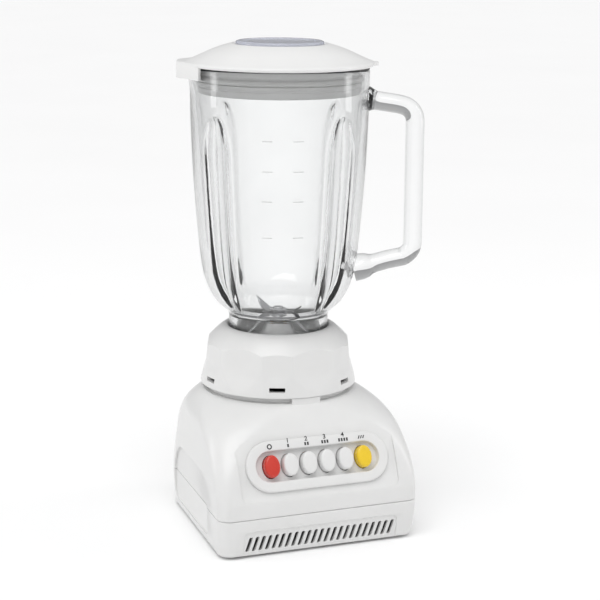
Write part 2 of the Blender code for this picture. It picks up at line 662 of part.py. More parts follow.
def make_blade_unit(mats, turned_jug):
    carrier = [(8.0, 131.5), (12.0, 131.5), (12.6, 141.0), (33.4, 141.0), (33.4, LEDGE_TOP + GAP),
               (39.2, LEDGE_TOP + GAP), (39.2, 145.8), (32.0, 146.0), (26.0, 147.2), (20.0, 149.6), (15.0, 153.5),
               (12.0, 158.0), (10.0, 163.0), (8.0, 163.0)]
    turned("blade_carrier", carrier, mats["steel"], turned_jug, 28)
    ring("jug_gasket", 34.4, 39.2, 146.1, 147.7, mats["seal"], turned_jug, 28)
    ring("blade_bearing", BORE_RADIUS, 7.7, 132.5, 162.0, mats["bronze"], turned_jug, 16)
    rod("blade_shaft", SHAFT_RADIUS, 119.0, 173.0, mats["steel"], turned_jug)
    teeth = star(COUPLING_OUTER, COUPLING_ROOT)
    driven = prism("driven_coupler", teeth, DRIVEN_LOW, 124.0, mats["dark"], turned_jug)
    fuse(driven, rod("tool_driven_disc", 13.0, 123.0, 128.0, None, turned_jug, 24))
    cut(driven, rod("tool_driven_bore", BORE_RADIUS, 118.6, 135.0, None, turned_jug, 16))
    downwards = ((9.0, 165.0), (13.0, 163.0), (25.0, 151.5))
    upwards = ((9.0, 167.3), (13.0, 169.0), (24.0, 177.5))
    make_blade("lower_blade", mats, turned_jug, 0.0, 165.0, downwards, (7.4, 6.8, 3.4))
    make_blade("upper_blade", mats, turned_jug, -45.0, 167.3, upwards, (6.8, 5.8, 1.2))
    outline = [(BORE_RADIUS, 169.4), (7.0, 169.4), (7.0, 172.4), (5.6, 174.6), (BORE_RADIUS, 174.6)]
    turned("blade_nut", outline, mats["steel"], turned_jug, 12)


def make_blade(name, mats, turned_jug, turn, level, stations, widths):
    """Two-armed blade, 2 mm thick, bent along (reach, height) stations, with its half widths there."""
    thickness = 2.0
    path = [(-r, z, w) for (r, z), w in zip(reversed(stations), reversed(widths))]
    path += [(r, z, w) for (r, z), w in zip(stations, widths)]
    angle = Matrix.Rotation(math.radians(turn), 3, "Z")
    rings = []
    for r, z, w in path:
        corners = ((r, -w, z), (r, w, z), (r, w, z + thickness), (r, -w, z + thickness))
        rings.append([tuple(angle @ Vector(corner)) for corner in corners])
    blade = lofted(name, rings, mats["steel"], turned_jug)
    cut(blade, rod(f"tool_{name}_bore", BORE_RADIUS, level - 10.0, level + 10.0, None, turned_jug, 16))


# ---------------------------------------------------------------- jug

def flute(angle, z):
    """Inward push of the wall at an angle in degrees from the handle, 0 to FLUTE_DEPTH."""
    away = abs((angle % 90.0) - 45.0) / FLUTE_HALF_ANGLE
    if away >= 1.0 or not FLUTE_LOW < z < FLUTE_HIGH:
        return 0.0
    fade = min(1.0, (z - FLUTE_LOW) / 16.0, (FLUTE_HIGH - z) / 8.0)
    return FLUTE_DEPTH * fade * 0.5 * (1.0 + math.cos(math.pi * away))


def spout(angle, z):
    """Outward push of the rim opposite the handle, which forms the pouring lip."""
    away = abs((angle % 360.0) - 180.0) / SPOUT_HALF_ANGLE
    if away >= 1.0 or z < SPOUT_LOW:
        return 0.0
    climb = (z - SPOUT_LOW) / (RIM - SPOUT_LOW)
    return SPOUT_REACH * climb ** 2 * 0.5 * (1.0 + math.cos(math.pi * away))


def make_jug(mats, turned_jug):
    outside = [(39.2, NECK_FOOT), (39.6, 168.5), (41.0, 172.0), (44.5, 175.3), (49.6, 180.0), (54.0, 186.5),
               (57.6, 194.5), (60.3, 204.0), (62.9, 222.0), (65.7, 252.0), (68.2, 288.0), (69.6, 320.0),
               (70.0, 334.0), (70.1, 348.0), (70.3, 358.0), (70.3, 364.0), (69.0, RIM)]
    inside = [(66.8, RIM), (66.6, 364.0), (66.4, 348.0), (65.8, 334.0), (64.8, 320.0), (62.2, 288.0),
              (59.4, 252.0), (56.6, 222.0), (52.4, 200.0), (45.5, 185.0), (37.0, 176.0), (33.5, 168.5),
              (33.5, NECK_FOOT)]
    rings = []
    for r, z in outside + inside:
        points = []
        for i in range(JUG_STEPS):
            degrees = 360.0 / JUG_STEPS * i
            radius = r - flute(degrees, z) + spout(degrees, z)
            angle = math.radians(degrees)
            points.append((radius * math.cos(angle), radius * math.sin(angle), z))
        rings.append(points)
    bm = bmesh.new()
    loops = [[bm.verts.new(point) for point in points] for points in rings]
    for low, high in zip(loops, loops[1:] + loops[:1]):
        for i, vert in enumerate(low):
            bm.faces.new((low[i - 1], vert, high[i], high[i - 1]))
    jug = finish_mesh("glass_jug", bm, mats["glass"], turned_jug)
    fuse(jug, make_handle_tool(turned_jug))


def make_handle_tool(turned_jug):
    """D-shaped handle: an oval section carried along an arm, a grip and an arm."""
    reach, bend = 106.3, 13.0
    top = [(67.6, 340.4), (80.0, 338.6), (reach - bend, 336.6)]
    top += [(x, z) for x, z in arc((reach - bend, 336.2 - bend), (bend, bend), 80.0, 10.0, 4)]
    low = [(x, z) for x, z in arc((reach - bend, 214.5 + bend), (bend, bend), -8.0, -70.0, 4)]
    low += [(80.0, 211.0), (60.5, 205.6)]
    path = [Vector((x, 0.0, z)) for x, z in top + [(reach, 275.0)] + low]
    rings = []
    for i, point in enumerate(path):
        before = path[max(i - 1, 0)]
        after = path[min(i + 1, len(path) - 1)]
        along = (after - before).normalized()
        side = Vector((0.0, 1.0, 0.0))
        out = side.cross(along)
        rings.append([tuple(point + side * y + out * x) for x, y in oval((7.4, 9.0), steps=12)])
    return lofted("tool_handle", rings, None, turned_jug)


# ---------------------------------------------------------------- lid

def make_lid(mats, turned_jug):
    outline = [(LID_HOLE, LID_TOP - 3.0), (LID_HOLE, LID_TOP), (36.6, LID_TOP), (38.0, LID_TOP + 0.8),
               (46.0, 380.9), (54.3, 377.8), (61.3, 374.6), (68.0, 371.6), (73.2, 369.6), (LID_RADIUS, 368.4),
               (73.2, LID_UNDER), (64.8, LID_UNDER), (64.2, 359.4), (62.8, 359.4), (62.8, 355.0),
               (64.4, 355.0), (63.6, 346.0), (60.6, 345.4), (61.0, 366.0), (55.0, 373.4), (36.0, LID_TOP - 3.4)]
    lid = turned("lid", outline, mats["white"], turned_jug, 48)
    fuse(lid, prism("tool_spout_plate", spout_cover_outline(62.0), LID_UNDER + GAP, 370.0, None, turned_jug))
    fuse(lid, prism("tool_spout_wall", spout_cover_outline(None), SPOUT_COVER_LOW, 367.6, None, turned_jug))
    thumb = [(62.0, -9.0), (76.7, -6.0), (76.7, 6.0), (62.0, 9.0)]
    fuse(lid, prism("tool_thumb_tab", thumb, LID_UNDER + GAP, 370.0, None, turned_jug))
    seal = [(63.2, 355.4), (64.6, 355.4), (66.0, 357.2), (64.6, 359.0), (63.2, 359.0)]
    turned("lid_seal", seal, mats["seal"], turned_jug, 32)


def spout_cover_outline(root):
    """Beak over the pouring lip: filled back to radius root, or only its hanging wall."""
    corners = [(-61.6, -40.0), (-80.0, -12.0), (-80.0, 12.0), (-61.6, 40.0)]
    if root:
        half = math.degrees(math.atan2(40.0, 61.6))
        return corners + arc((0.0, 0.0), (root, root), 180.0 - half, 180.0 + half, 6)
    inner = 1.0 - 2.3 / 73.5
    return corners + [(x * inner, y * inner) for x, y in reversed(corners)]


def make_filler_cap(mats, turned_jug):
    """Measuring cup, mouth down, whose flange closes the hole in the lid."""
    outline = [(0.0, CAP_TOP - 1.0), (27.0, CAP_TOP - 1.0), (29.0, CAP_TOP), (33.6, CAP_TOP),
               (CAP_RADIUS, CAP_TOP - 1.0), (CAP_RADIUS, LID_TOP + GAP), (26.6, LID_TOP + GAP), (25.6, 351.0),
               (23.4, 351.0), (24.4, 381.6), (0.0, 381.6)]
    turned("filler_cap", outline, mats["tinted"], turned_jug, 32)


def build():
    clear_scene()
    mats = make_materials()
    panel = make_frame("panel_frame", PANEL_CENTRE, tilt=90.0 - PANEL_TILT)
    turned_jug = make_frame("jug_frame", turn=HANDLE_TURN)
    make_upper_housing(mats, panel)
    make_deck_ring(mats)
    inlet_axis = make_bottom_housing(mats)
    make_cord_inlet(mats, inlet_axis)
    make_feet_and_screws(mats)
    make_control_frame(mats, panel)
    make_buttons(mats, panel)
    make_switch(mats, panel)
    make_motor(mats)
    make_collar(mats, turned_jug)
    make_blade_unit(mats, turned_jug)
    make_jug(mats, turned_jug)
    make_lid(mats, turned_jug)
    make_filler_cap(mats, turned_jug)


build()
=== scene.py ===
"""Looks of the countertop blender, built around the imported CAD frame.

Lengths are in millimetres here and become metres where a mesh is made.
The origin is on the drive axis at table level, +Z is up, the buttons face -Y.
"""
import json
import math

import bmesh
import bpy
from mathutils import Matrix, Vector

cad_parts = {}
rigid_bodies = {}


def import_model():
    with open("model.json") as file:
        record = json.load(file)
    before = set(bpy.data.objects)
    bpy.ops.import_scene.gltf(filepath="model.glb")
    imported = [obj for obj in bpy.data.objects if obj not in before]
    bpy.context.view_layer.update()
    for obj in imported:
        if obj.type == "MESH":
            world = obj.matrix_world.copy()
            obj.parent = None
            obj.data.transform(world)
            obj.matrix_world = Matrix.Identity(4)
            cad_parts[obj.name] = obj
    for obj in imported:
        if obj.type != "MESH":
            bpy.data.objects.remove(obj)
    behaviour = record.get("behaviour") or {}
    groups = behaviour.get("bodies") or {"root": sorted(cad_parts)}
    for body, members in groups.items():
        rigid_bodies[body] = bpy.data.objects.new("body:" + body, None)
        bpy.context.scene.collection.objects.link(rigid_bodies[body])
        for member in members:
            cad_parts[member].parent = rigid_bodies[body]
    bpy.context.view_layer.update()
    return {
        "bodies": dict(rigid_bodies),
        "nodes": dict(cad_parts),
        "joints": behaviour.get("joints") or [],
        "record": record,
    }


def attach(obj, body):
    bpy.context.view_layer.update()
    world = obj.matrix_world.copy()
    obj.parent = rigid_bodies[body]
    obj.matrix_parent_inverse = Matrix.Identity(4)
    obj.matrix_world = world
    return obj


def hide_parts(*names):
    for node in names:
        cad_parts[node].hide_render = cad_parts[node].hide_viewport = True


MM = 0.001
GAP = 0.3                     # clearance between neighbouring pieces

# Motor base, as in the CAD source
UNDERSIDE = 2.0
SEAM = 31.7
DECK = 109.5
DECK_RADIUS = 61.0
HALF_WIDTH = 83.5
FRONT = -95.0
REAR = 76.0
SIDE_TAPER = math.tan(math.radians(4.5))
WALL = 3.5
FRONT_CORNER = 11.0
REAR_CORNER = 29.0
CORNER_STEPS = 14
SPIGOT_RADIUS = 56.5
SPIGOT_TOP = 117.0
COUPLER_HOLE = 17.0
LUG_ANGLE = 22.0
LUG_OUTER = 61.6
LUG_INNER = 55.0
SIDE_RECESS_DEPTH = 1.8
BOSS_PLACES = ((73.4, -62.0), (64.6, 50.0))
FOOT_PLACES = ((62.0, -78.0), (52.0, 56.0))
INLET_HEIGHT = 19.0

# Front vents
VENT_COUNT = 23
VENT_PITCH = 5.38
VENT_WIDTH = 3.0
VENT_LEAN = 3.2
VENT_LOW = 5.6
VENT_HIGH = 17.4
VENT_PANEL_HALF = 64.0
VENT_PANEL_TOP = 22.0
VENT_PANEL_DEPTH = 1.0
VENT_PANEL_CORNER = 5.0

# Control panel
PANEL_TILT = 24.2
PANEL_CENTRE = (0.0, -83.4, 68.4)
PANEL_HALF = 65.5
FRAME_HALF = (59.0, 20.5)
FRAME_FACE = 3.0
RECESS_HALF = (51.0, 11.8)
RECESS_FLOOR = -1.5
RECESS_UNDER = -4.0
OPENING_HALF = (53.2, 13.9)
BUTTON_PITCH = 15.3
BUTTON_HALF = (6.2, 8.7)
BUTTON_FACE = 5.6
BUTTON_FOOT = -9.0
BUTTON_CLEARANCE = 0.45
STEM_FOOT = -20.0
LABEL_HEIGHT = 16.4
LABEL_SIZE = 5.0
MARK_LIFT = 0.02
MARK_THICKNESS = 0.06

# Shafts and coupling
SHAFT_RADIUS = 4.0
BORE_RADIUS = 4.35
COUPLING_TEETH = 6
COUPLING_OUTER = 10.5
COUPLING_ROOT = 6.8
COUPLING_CLEARANCE = 0.6
SOCKET_FLOOR = 114.0
SOCKET_TOP = 121.5

# Collar and jug
HANDLE_TURN = -22.0
COLLAR_FOOT = 114.0
COLLAR_TOP = 160.3
COLLAR_BORE = 40.2
LEDGE_TOP = 143.0
LEDGE_UNDER = 140.0
LEDGE_BORE = 34.3
GRIP_FLATS = 6
FLAT_HALF_ANGLE = 12.0        # narrow flats, with wider ones between them
SLOT_LOW = 118.8
SLOT_TOP = SLOT_LOW + 3.6
SLOT_HALF = 6.2
NECK_FOOT = 148.0
RIM = 366.0
FLUTE_DEPTH = 4.0
FLUTE_HALF_ANGLE = 12.0
FLUTE_LOW = 176.0
FLUTE_HIGH = 333.0
SPOUT_HALF_ANGLE = 24.0
SPOUT_LOW = 346.0
SPOUT_REACH = 5.0
JUG_STEPS = 192
MARK_HEIGHTS = (241.0, 269.0, 292.0, 315.0)
MARK_COLUMNS = ((-12.5, -4.5), (11.0, 19.0))
MARK_HALF = 0.3

# Lid
LID_RADIUS = 74.0
LID_UNDER = 366.4
LID_TOP = 382.6
LID_HOLE = 27.5
SPOUT_COVER_LOW = 357.0
CAP_RADIUS = 34.6
CAP_TOP = 385.3

# Camera, light and floor
CAMERA_PLACE = (-521.3, -1319.9, 490.1)
CAMERA_AZIMUTH = 22.25
CAMERA_PITCH = 12.36
CAMERA_ROLL = 0.5
CAMERA_LENS = 108.94
SENSOR = 36.0
KEY_DIRECTION = (-0.34, -0.42, 1.05)
SKY_DIRECTION = (-0.15, -0.35, 1.00)
SKY_DIM = (0.30, 0.30, 0.305, 1.0)
SKY_BRIGHT = (0.82, 0.82, 0.82, 1.0)
SUN_STRENGTH = 1.15
SUN_SPREAD = 45.0
STRIP_POWER = 2.0
STRIP_SIZE = (250.0, 900.0)
STRIP_AIM = (0.0, 0.0, 220.0)
FLOOR_HALF = 30000.0

TURN_STEPS = 96
PANEL = (Matrix.Translation(Vector(PANEL_CENTRE))
         @ Matrix.Rotation(math.radians(90.0 - PANEL_TILT), 4, "X"))
JUG = Matrix.Rotation(math.radians(HANDLE_TURN), 4, "Z")
UPRIGHT = Matrix.Rotation(math.radians(90.0), 4, "X")
INLET = (Matrix.Translation(Vector((0.0, REAR - 9.0, INLET_HEIGHT)))
         @ Matrix.Rotation(math.radians(-90.0), 4, "X"))


# ---------------------------------------------------------------- outlines

def arc(centre, radii, start, end, steps):
    """Points of an elliptical arc, angles in degrees."""
    points = []
    for i in range(steps + 1):
        angle = math.radians(start + (end - start) * i / steps)
        points.append((centre[0] + radii[0] * math.cos(angle),
                       centre[1] + radii[1] * math.sin(angle)))
    return points


def oval(half, centre=(0.0, 0.0), steps=48):
    return arc(centre, half, 0.0, 360.0 - 360.0 / steps, steps - 1)


def circle(radius, centre=(0.0, 0.0)):
    return oval((radius, radius), centre)


def both_sides(places, radius):
    """Circles at places and at their mirror images in x."""
    return [circle(radius, (side * x, y)) for x, y in places for side in (-1.0, 1.0)]


def stadium(half, steps=24):
    """Long slot outline with round ends, half = (half length, half height)."""
    reach = half[0] - half[1]
    radii = (half[1], half[1])
    return (arc((reach, 0.0), radii, -90.0, 90.0, steps)
            + arc((-reach, 0.0), radii, 90.0, 270.0, steps))


def fillet(outline, radius, steps=4, closed=True):
    """Outline with each corner cut back by up to radius and rounded."""
    points = []
    last = len(outline) - 1
    for i, corner in enumerate(outline):
        if not closed and i in (0, last):
            points.append(corner)
            continue
        here = Vector(corner)
        before = Vector(outline[i - 1]) - here
        after = Vector(outline[(i + 1) % len(outline)]) - here
        start = here + before * min(radius / before.length, 0.45)
        end = here + after * min(radius / after.length, 0.45)
        for k in range(steps + 1):
            t = k / steps
            points.append(tuple(start * (1 - t) ** 2 + here * 2 * t * (1 - t) + end * t ** 2))
    return points


def smooth_line(points, per=5):
    """Catmull-Rom curve through points."""
    padded = [points[0]] + list(points) + [points[-1]]
    line = []
    for a, b, c, d in zip(padded, padded[1:], padded[2:], padded[3:]):
        a, b, c, d = Vector(a), Vector(b), Vector(c), Vector(d)
        for k in range(per):
            t = k / per
            line.append(tuple(0.5 * (2 * b + (c - a) * t + (2 * a - 5 * b + 4 * c - d) * t ** 2
                                     + (3 * b - a - 3 * c + d) * t ** 3)))
    return line + [tuple(points[-1])]


def ease(low, high, value):
    """0 below low, 1 above high, smooth between."""
    t = min(1.0, max(0.0, (value - low) / (high - low)))
    return t * t * (3.0 - 2.0 * t)


def star(outer, root):
    """Outline of the coupling: straight-sided teeth between two radii."""
    points = []
    for tooth in range(COUPLING_TEETH):
        middle = 360.0 / COUPLING_TEETH * tooth
        for offset, radius in ((-18.0, root), (-11.0, outer), (11.0, outer), (18.0, root)):
            angle = math.radians(middle + offset)
            points.append((radius * math.cos(angle), radius * math.sin(angle)))
    return fillet(points, 0.8, 3)


# ---------------------------------------------------------------- meshes

def add_skin(bm, rings, loop=False):
    """Skin through rings of equal point count; its ends are capped, or joined in a loop."""
    loops = [[bm.verts.new(point) for point in points] for points in rings]
    pairs = list(zip(loops, loops[1:]))
    if loop:
        pairs.append((loops[-1], loops[0]))
    for low, high in pairs:
        for i, vert in enumerate(low):
            bm.faces.new((low[i - 1], vert, high[i], high[i - 1]))
    if not loop:
        bm.faces.new(loops[0])
        bm.faces.new(loops[-1])


def new_object(name, bm, frame=None):
    """Object from a bmesh in millimetres, placed by frame."""
    bmesh.ops.remove_doubles(bm, verts=bm.verts, dist=0.002)
    if frame is not None:
        bmesh.ops.transform(bm, matrix=frame, verts=bm.verts)
    bmesh.ops.recalc_face_normals(bm, faces=bm.faces)
    bmesh.ops.scale(bm, vec=(MM, MM, MM), verts=bm.verts)
    mesh = bpy.data.meshes.new(name)
    bm.to_mesh(mesh)
    bm.free()
    obj = bpy.data.objects.new(name, mesh)
    bpy.context.scene.collection.objects.link(obj)
    return obj


def lofted(name, rings, frame=None, loop=False):
    bm = bmesh.new()
    add_skin(bm, rings, loop)
    return new_object(name, bm, frame)


def prisms(name, outlines, low, high, frame=None):
    """Flat outlines in x and y, extruded along z, in one object."""
    bm = bmesh.new()
    for outline in outlines:
        add_skin(bm, [[(x, y, z) for x, y in outline] for z in (low, high)])
    return new_object(name, bm, frame)


def turned(name, outline, frame=None, steps=TURN_STEPS, shape=None, at=(0.0, 0.0)):
    """Solid of revolution about Z from a closed (radius, height) outline; shape bends radii."""
    rings = []
    for radius, z in outline:
        points = []
        for i in range(steps):
            degrees = 360.0 / steps * i
            angle = math.radians(degrees)
            reach = shape(degrees, radius, z) if shape else radius
            points.append((at[0] + reach * math.cos(angle), at[1] + reach * math.sin(angle), z))
        rings.append(points)
    return lofted(name, rings, frame, loop=True)


def bake(obj):
    """Replace the object's mesh by what its modifiers make of it."""
    bpy.context.view_layer.update()
    evaluated = obj.evaluated_get(bpy.context.evaluated_depsgraph_get())
    mesh = bpy.data.meshes.new_from_object(evaluated)
    old = obj.data
    obj.modifiers.clear()
    obj.data = mesh
    bpy.data.meshes.remove(old)


def carve(target, tool, operation="DIFFERENCE"):
    mod = target.modifiers.new("carve", "BOOLEAN")
    mod.operation = operation
    mod.solver = "EXACT"
    mod.object = tool
    bake(target)
    bpy.data.objects.remove(tool, do_unlink=True)


def soften(obj, width, angle=32.0, segments=2):
    """Round the sharp edges by width millimetres."""
    mod = obj.modifiers.new("soften", "BEVEL")
    mod.width = width * MM
    mod.segments = segments
    mod.limit_method = "ANGLE"
    mod.angle_limit = math.radians(angle)
    bake(obj)


def finish_piece(obj, body, look, nodes, sharp=32.0):
    """Shade the piece, give it its material and let it ride in place of CAD nodes."""
    obj.data.shade_smooth()
    obj.data.set_sharp_from_angle(angle=math.radians(sharp))
    obj.data.materials.clear()
    obj.data.materials.append(look)
    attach(obj, body)
    if nodes:
        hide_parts(*nodes)
    return obj


# ---------------------------------------------------------------- materials

def scaled(colour, factor):
    return tuple(min(1.0, c * factor) for c in colour) + (1.0,)


def make_look(name, colour, roughness, mottle=0.02, grain=60.0, bump=0.05, fine=900.0,
              stretch=(1.0, 1.0, 1.0), bands=None, metallic=0.0, sockets=(), edge=None):
    """Procedural material: mottled colour, uneven gloss and a fine relief; edge is painted shade on the
    edges of thick glass.
    """
    mat = bpy.data.materials.new(name)
    mat.use_nodes = True
    nodes, links = mat.node_tree.nodes, mat.node_tree.links
    shader = nodes["Principled BSDF"]
    shader.inputs["Metallic"].default_value = metallic
    for socket, value in sockets:
        shader.inputs[socket].default_value = value
    coords = nodes.new("ShaderNodeTexCoord")
    mapping = nodes.new("ShaderNodeMapping")
    mapping.inputs["Scale"].default_value = stretch
    links.new(coords.outputs["Object"], mapping.inputs["Vector"])
    broad = nodes.new("ShaderNodeTexNoise")
    broad.inputs["Scale"].default_value = grain
    broad.inputs["Detail"].default_value = 4.0
    links.new(mapping.outputs["Vector"], broad.inputs["Vector"])
    ramp = nodes.new("ShaderNodeValToRGB")
    ramp.color_ramp.elements[0].position = 0.3
    ramp.color_ramp.elements[1].position = 0.7
    ramp.color_ramp.elements[0].color = scaled(colour, 1.0 - mottle)
    ramp.color_ramp.elements[1].color = scaled(colour, 1.0 + mottle)
    links.new(broad.outputs["Fac"], ramp.inputs["Fac"])
    links.new(ramp.outputs["Color"], shader.inputs["Base Color"])
    # the edge colour paints shade on the glass where it is seen edge on
    if edge:
        tint_edges(nodes, links, ramp.outputs["Color"], shader.inputs["Base Color"], edge)
    gloss = nodes.new("ShaderNodeMapRange")
    gloss.inputs["To Min"].default_value = roughness * 0.85
    gloss.inputs["To Max"].default_value = roughness * 1.15
    links.new(broad.outputs["Fac"], gloss.inputs["Value"])
    links.new(gloss.outputs["Result"], shader.inputs["Roughness"])
    if bands:
        relief = nodes.new("ShaderNodeTexWave")
        relief.bands_direction = "Z"
        relief.inputs["Scale"].default_value = bands
        height = relief.outputs["Fac"]
        links.new(coords.outputs["Object"], relief.inputs["Vector"])
    else:
        relief = nodes.new("ShaderNodeTexNoise")
        relief.inputs["Scale"].default_value = fine
        relief.inputs["Detail"].default_value = 3.0
        height = relief.outputs["Fac"]
        links.new(mapping.outputs["Vector"], relief.inputs["Vector"])
    dent = nodes.new("ShaderNodeBump")
    dent.inputs["Strength"].default_value = bump
    dent.inputs["Distance"].default_value = 0.0003
    links.new(height, dent.inputs["Height"])
    links.new(dent.outputs["Normal"], shader.inputs["Normal"])
    return mat


def tint_edges(nodes, links, colour, target, edge):
    """Painted shade on glass seen edge on: it takes the dark edge colour, for the darker reflections at
    its silhouettes as well as the long path through thick glass.
    """
    facing = nodes.new("ShaderNodeLayerWeight")
    facing.inputs["Blend"].default_value = 0.3
    mix = nodes.new("ShaderNodeMix")
    mix.data_type = "RGBA"
    near, far = mix.inputs[6], mix.inputs[7]       # the sockets of its colour mode
    far.default_value = (*edge, 1.0)
    links.new(facing.outputs["Facing"], mix.inputs["Factor"])
    links.new(colour, near)
    links.new(mix.outputs[2], target)


def make_looks():
    plastic = (("Coat Weight", 0.12), ("Coat Roughness", 0.12), ("IOR", 1.5))
    clear = (("Transmission Weight", 1.0), ("IOR", 1.5))
    return {
        "white": make_look("white_plastic", (0.72, 0.72, 0.715), 0.30, 0.012, sockets=plastic),
        # The lid's white is a lighter copy of the base's white plastic: painted light that makes up for
        # the shade the glass casts on the lid's skirt.
        "lid": make_look("lid_plastic_painted_light", (0.79, 0.79, 0.785), 0.36, 0.012, 45.0, sockets=plastic),
        "red": make_look("red_plastic", (0.56, 0.035, 0.020), 0.26, 0.05, sockets=plastic),
        "yellow": make_look("yellow_plastic", (0.82, 0.56, 0.02), 0.26, 0.04, sockets=plastic),
        "dark": make_look("dark_plastic", (0.035, 0.035, 0.036), 0.48, 0.2, 150.0, 0.2),
        "ink": make_look("label_ink", (0.03, 0.03, 0.032), 0.55, 0.3, 400.0, 0.1),
        "rubber": make_look("black_rubber", (0.045, 0.045, 0.045), 0.75, 0.25, 200.0, 0.35, 1500.0),
        "seal": make_look("white_silicone", (0.86, 0.86, 0.85), 0.5, 0.03, 120.0, 0.1),
        "frost": make_look("frosted_mark", (0.55, 0.55, 0.55), 0.6, 0.1, 500.0, 0.1),
        # The glass's dark edge colour is painted shade at its silhouettes, where thick glass is also
        # looked through lengthways.
        "glass": make_look("pressed_glass", (0.985, 0.99, 0.99), 0.012, 0.004, 30.0, 0.25, 34.0,
                           sockets=clear, edge=(0.20, 0.205, 0.21)),
        "tinted": make_look("tinted_plastic", (0.80, 0.82, 0.91), 0.10, 0.01, 30.0, 0.05, 60.0,
                            sockets=(("Transmission Weight", 0.55), ("IOR", 1.5))),
        "steel": make_look("polished_steel", (0.66, 0.66, 0.67), 0.30, 0.05, 250.0, 0.12, 1800.0,
                           (1.0, 0.12, 1.0), metallic=1.0, sockets=(("Anisotropic", 0.4),)),
        # The blade plate is frosted steel, made lighter and half diffuse besides: painted light for the
        # shade it sits in under the glass and inside the collar.
        "plate": make_look("spun_steel_painted_light", (0.96, 0.96, 0.955), 0.5, 0.02, 180.0, 0.1, 1200.0,
                           metallic=0.45),
        "plated": make_look("plated_steel", (0.52, 0.52, 0.52), 0.36, 0.12, 300.0, 0.1, metallic=1.0),
        "iron": make_look("laminated_iron", (0.26, 0.26, 0.27), 0.5, 0.15, 200.0, 0.6, bands=300.0,
                          metallic=1.0),
        "copper": make_look("enamelled_copper", (0.62, 0.26, 0.10), 0.35, 0.12, 200.0, 0.7,
                            bands=250.0, metallic=1.0),
        "bronze": make_look("sintered_bronze", (0.50, 0.36, 0.17), 0.5, 0.15, 600.0, 0.3, metallic=1.0),
        "carbon": make_look("pressed_carbon", (0.04, 0.04, 0.042), 0.6, 0.3, 700.0, 0.4),
        "floor": make_look("pale_floor", (0.95, 0.95, 0.95), 0.9, 0.004, 3.0, 0.0),
    }


# ---------------------------------------------------------------- motor base

def rise(z, start, power):
    """0 below start, 1 at the deck, along a power curve."""
    return max(0.0, (z - start) / (DECK - start)) ** power


def plan(half_width, front, rear, front_corner, rear_corner, taper, z):
    """One horizontal section of the base: a rounded box that narrows to the rear."""
    corners = (
        (half_width - rear_corner, rear - rear_corner, rear_corner, 0.0),
        (rear_corner - half_width, rear - rear_corner, rear_corner, 90.0),
        (front_corner - half_width, front + front_corner, front_corner, 180.0),
        (half_width - front_corner, front + front_corner, front_corner, 270.0),
    )
    points = []
    for cx, cy, radius, start in corners:
        points += arc((cx, cy), (radius, radius), start, start + 90.0, CORNER_STEPS)
    return [(x * (1.0 - taper * (y - front) / half_width), y, z) for x, y in points]


def upper_section(z, inset=0.0, level=None):
    """Section of the upper shell: box below, full circle at the deck."""
    half_width = HALF_WIDTH - (HALF_WIDTH - DECK_RADIUS) * rise(z, 73.6, 3.6)
    front = FRONT + (-DECK_RADIUS - FRONT) * rise(z, 42.4, 1.4)
    rear = REAR + (DECK_RADIUS - REAR) * rise(z, 40.0, 1.15)
    front_corner = FRONT_CORNER + (DECK_RADIUS - FRONT_CORNER) * rise(z, 45.7, 2.0)
    rear_corner = REAR_CORNER + (DECK_RADIUS - REAR_CORNER) * rise(z, SEAM, 1.5)
    taper = SIDE_TAPER * (1.0 - rise(z, 73.6, 3.6))
    return plan(half_width - inset, front + inset, rear - inset, front_corner - inset,
                rear_corner - inset, taper, z if level is None else level)


def lower_drop(z):
    return ((SEAM - z) / SEAM) ** 2.2


def lower_section(z, inset=0.0, level=None):
    """Section of the lower shell, which draws in towards the floor."""
    side = inset + 2.4 * lower_drop(z)
    return plan(HALF_WIDTH - side, FRONT + inset + 4.0 * lower_drop(z), REAR - side,
                FRONT_CORNER - inset, REAR_CORNER - inset, SIDE_TAPER, z if level is None else level)


def side_recess_tool(side):
    """Cutter for the shallow arched field on one side of the base."""
    outline = arc((-26.0, 29.0), (30.0, 28.0), 180.0, 90.0, 24)
    outline += arc((22.0, 29.0), (26.0, 28.0), 90.0, 0.0, 24)
    outline += arc((40.0, 16.0), (8.0, 8.0), 0.0, -90.0, 8)
    outline += arc((-48.0, 16.0), (8.0, 8.0), 270.0, 180.0, 8)
    inner = HALF_WIDTH - SIDE_RECESS_DEPTH
    rings = [[(side * (inner - SIDE_TAPER * (y - FRONT)), y, z) for y, z in outline],
             [(side * (HALF_WIDTH + 9.0), y, z) for y, z in outline]]
    return lofted("recess_tool", rings)


def panel_outline():
    """Flat control panel: square above, rounded corners below."""
    low, high, radius = -26.0, 34.0, 6.0
    outline = [(PANEL_HALF, high), (-PANEL_HALF, high)]
    outline += arc((radius - PANEL_HALF, low + radius), (radius, radius), 180.0, 270.0, 8)
    outline += arc((PANEL_HALF - radius, low + radius), (radius, radius), 270.0, 360.0, 8)
    return outline


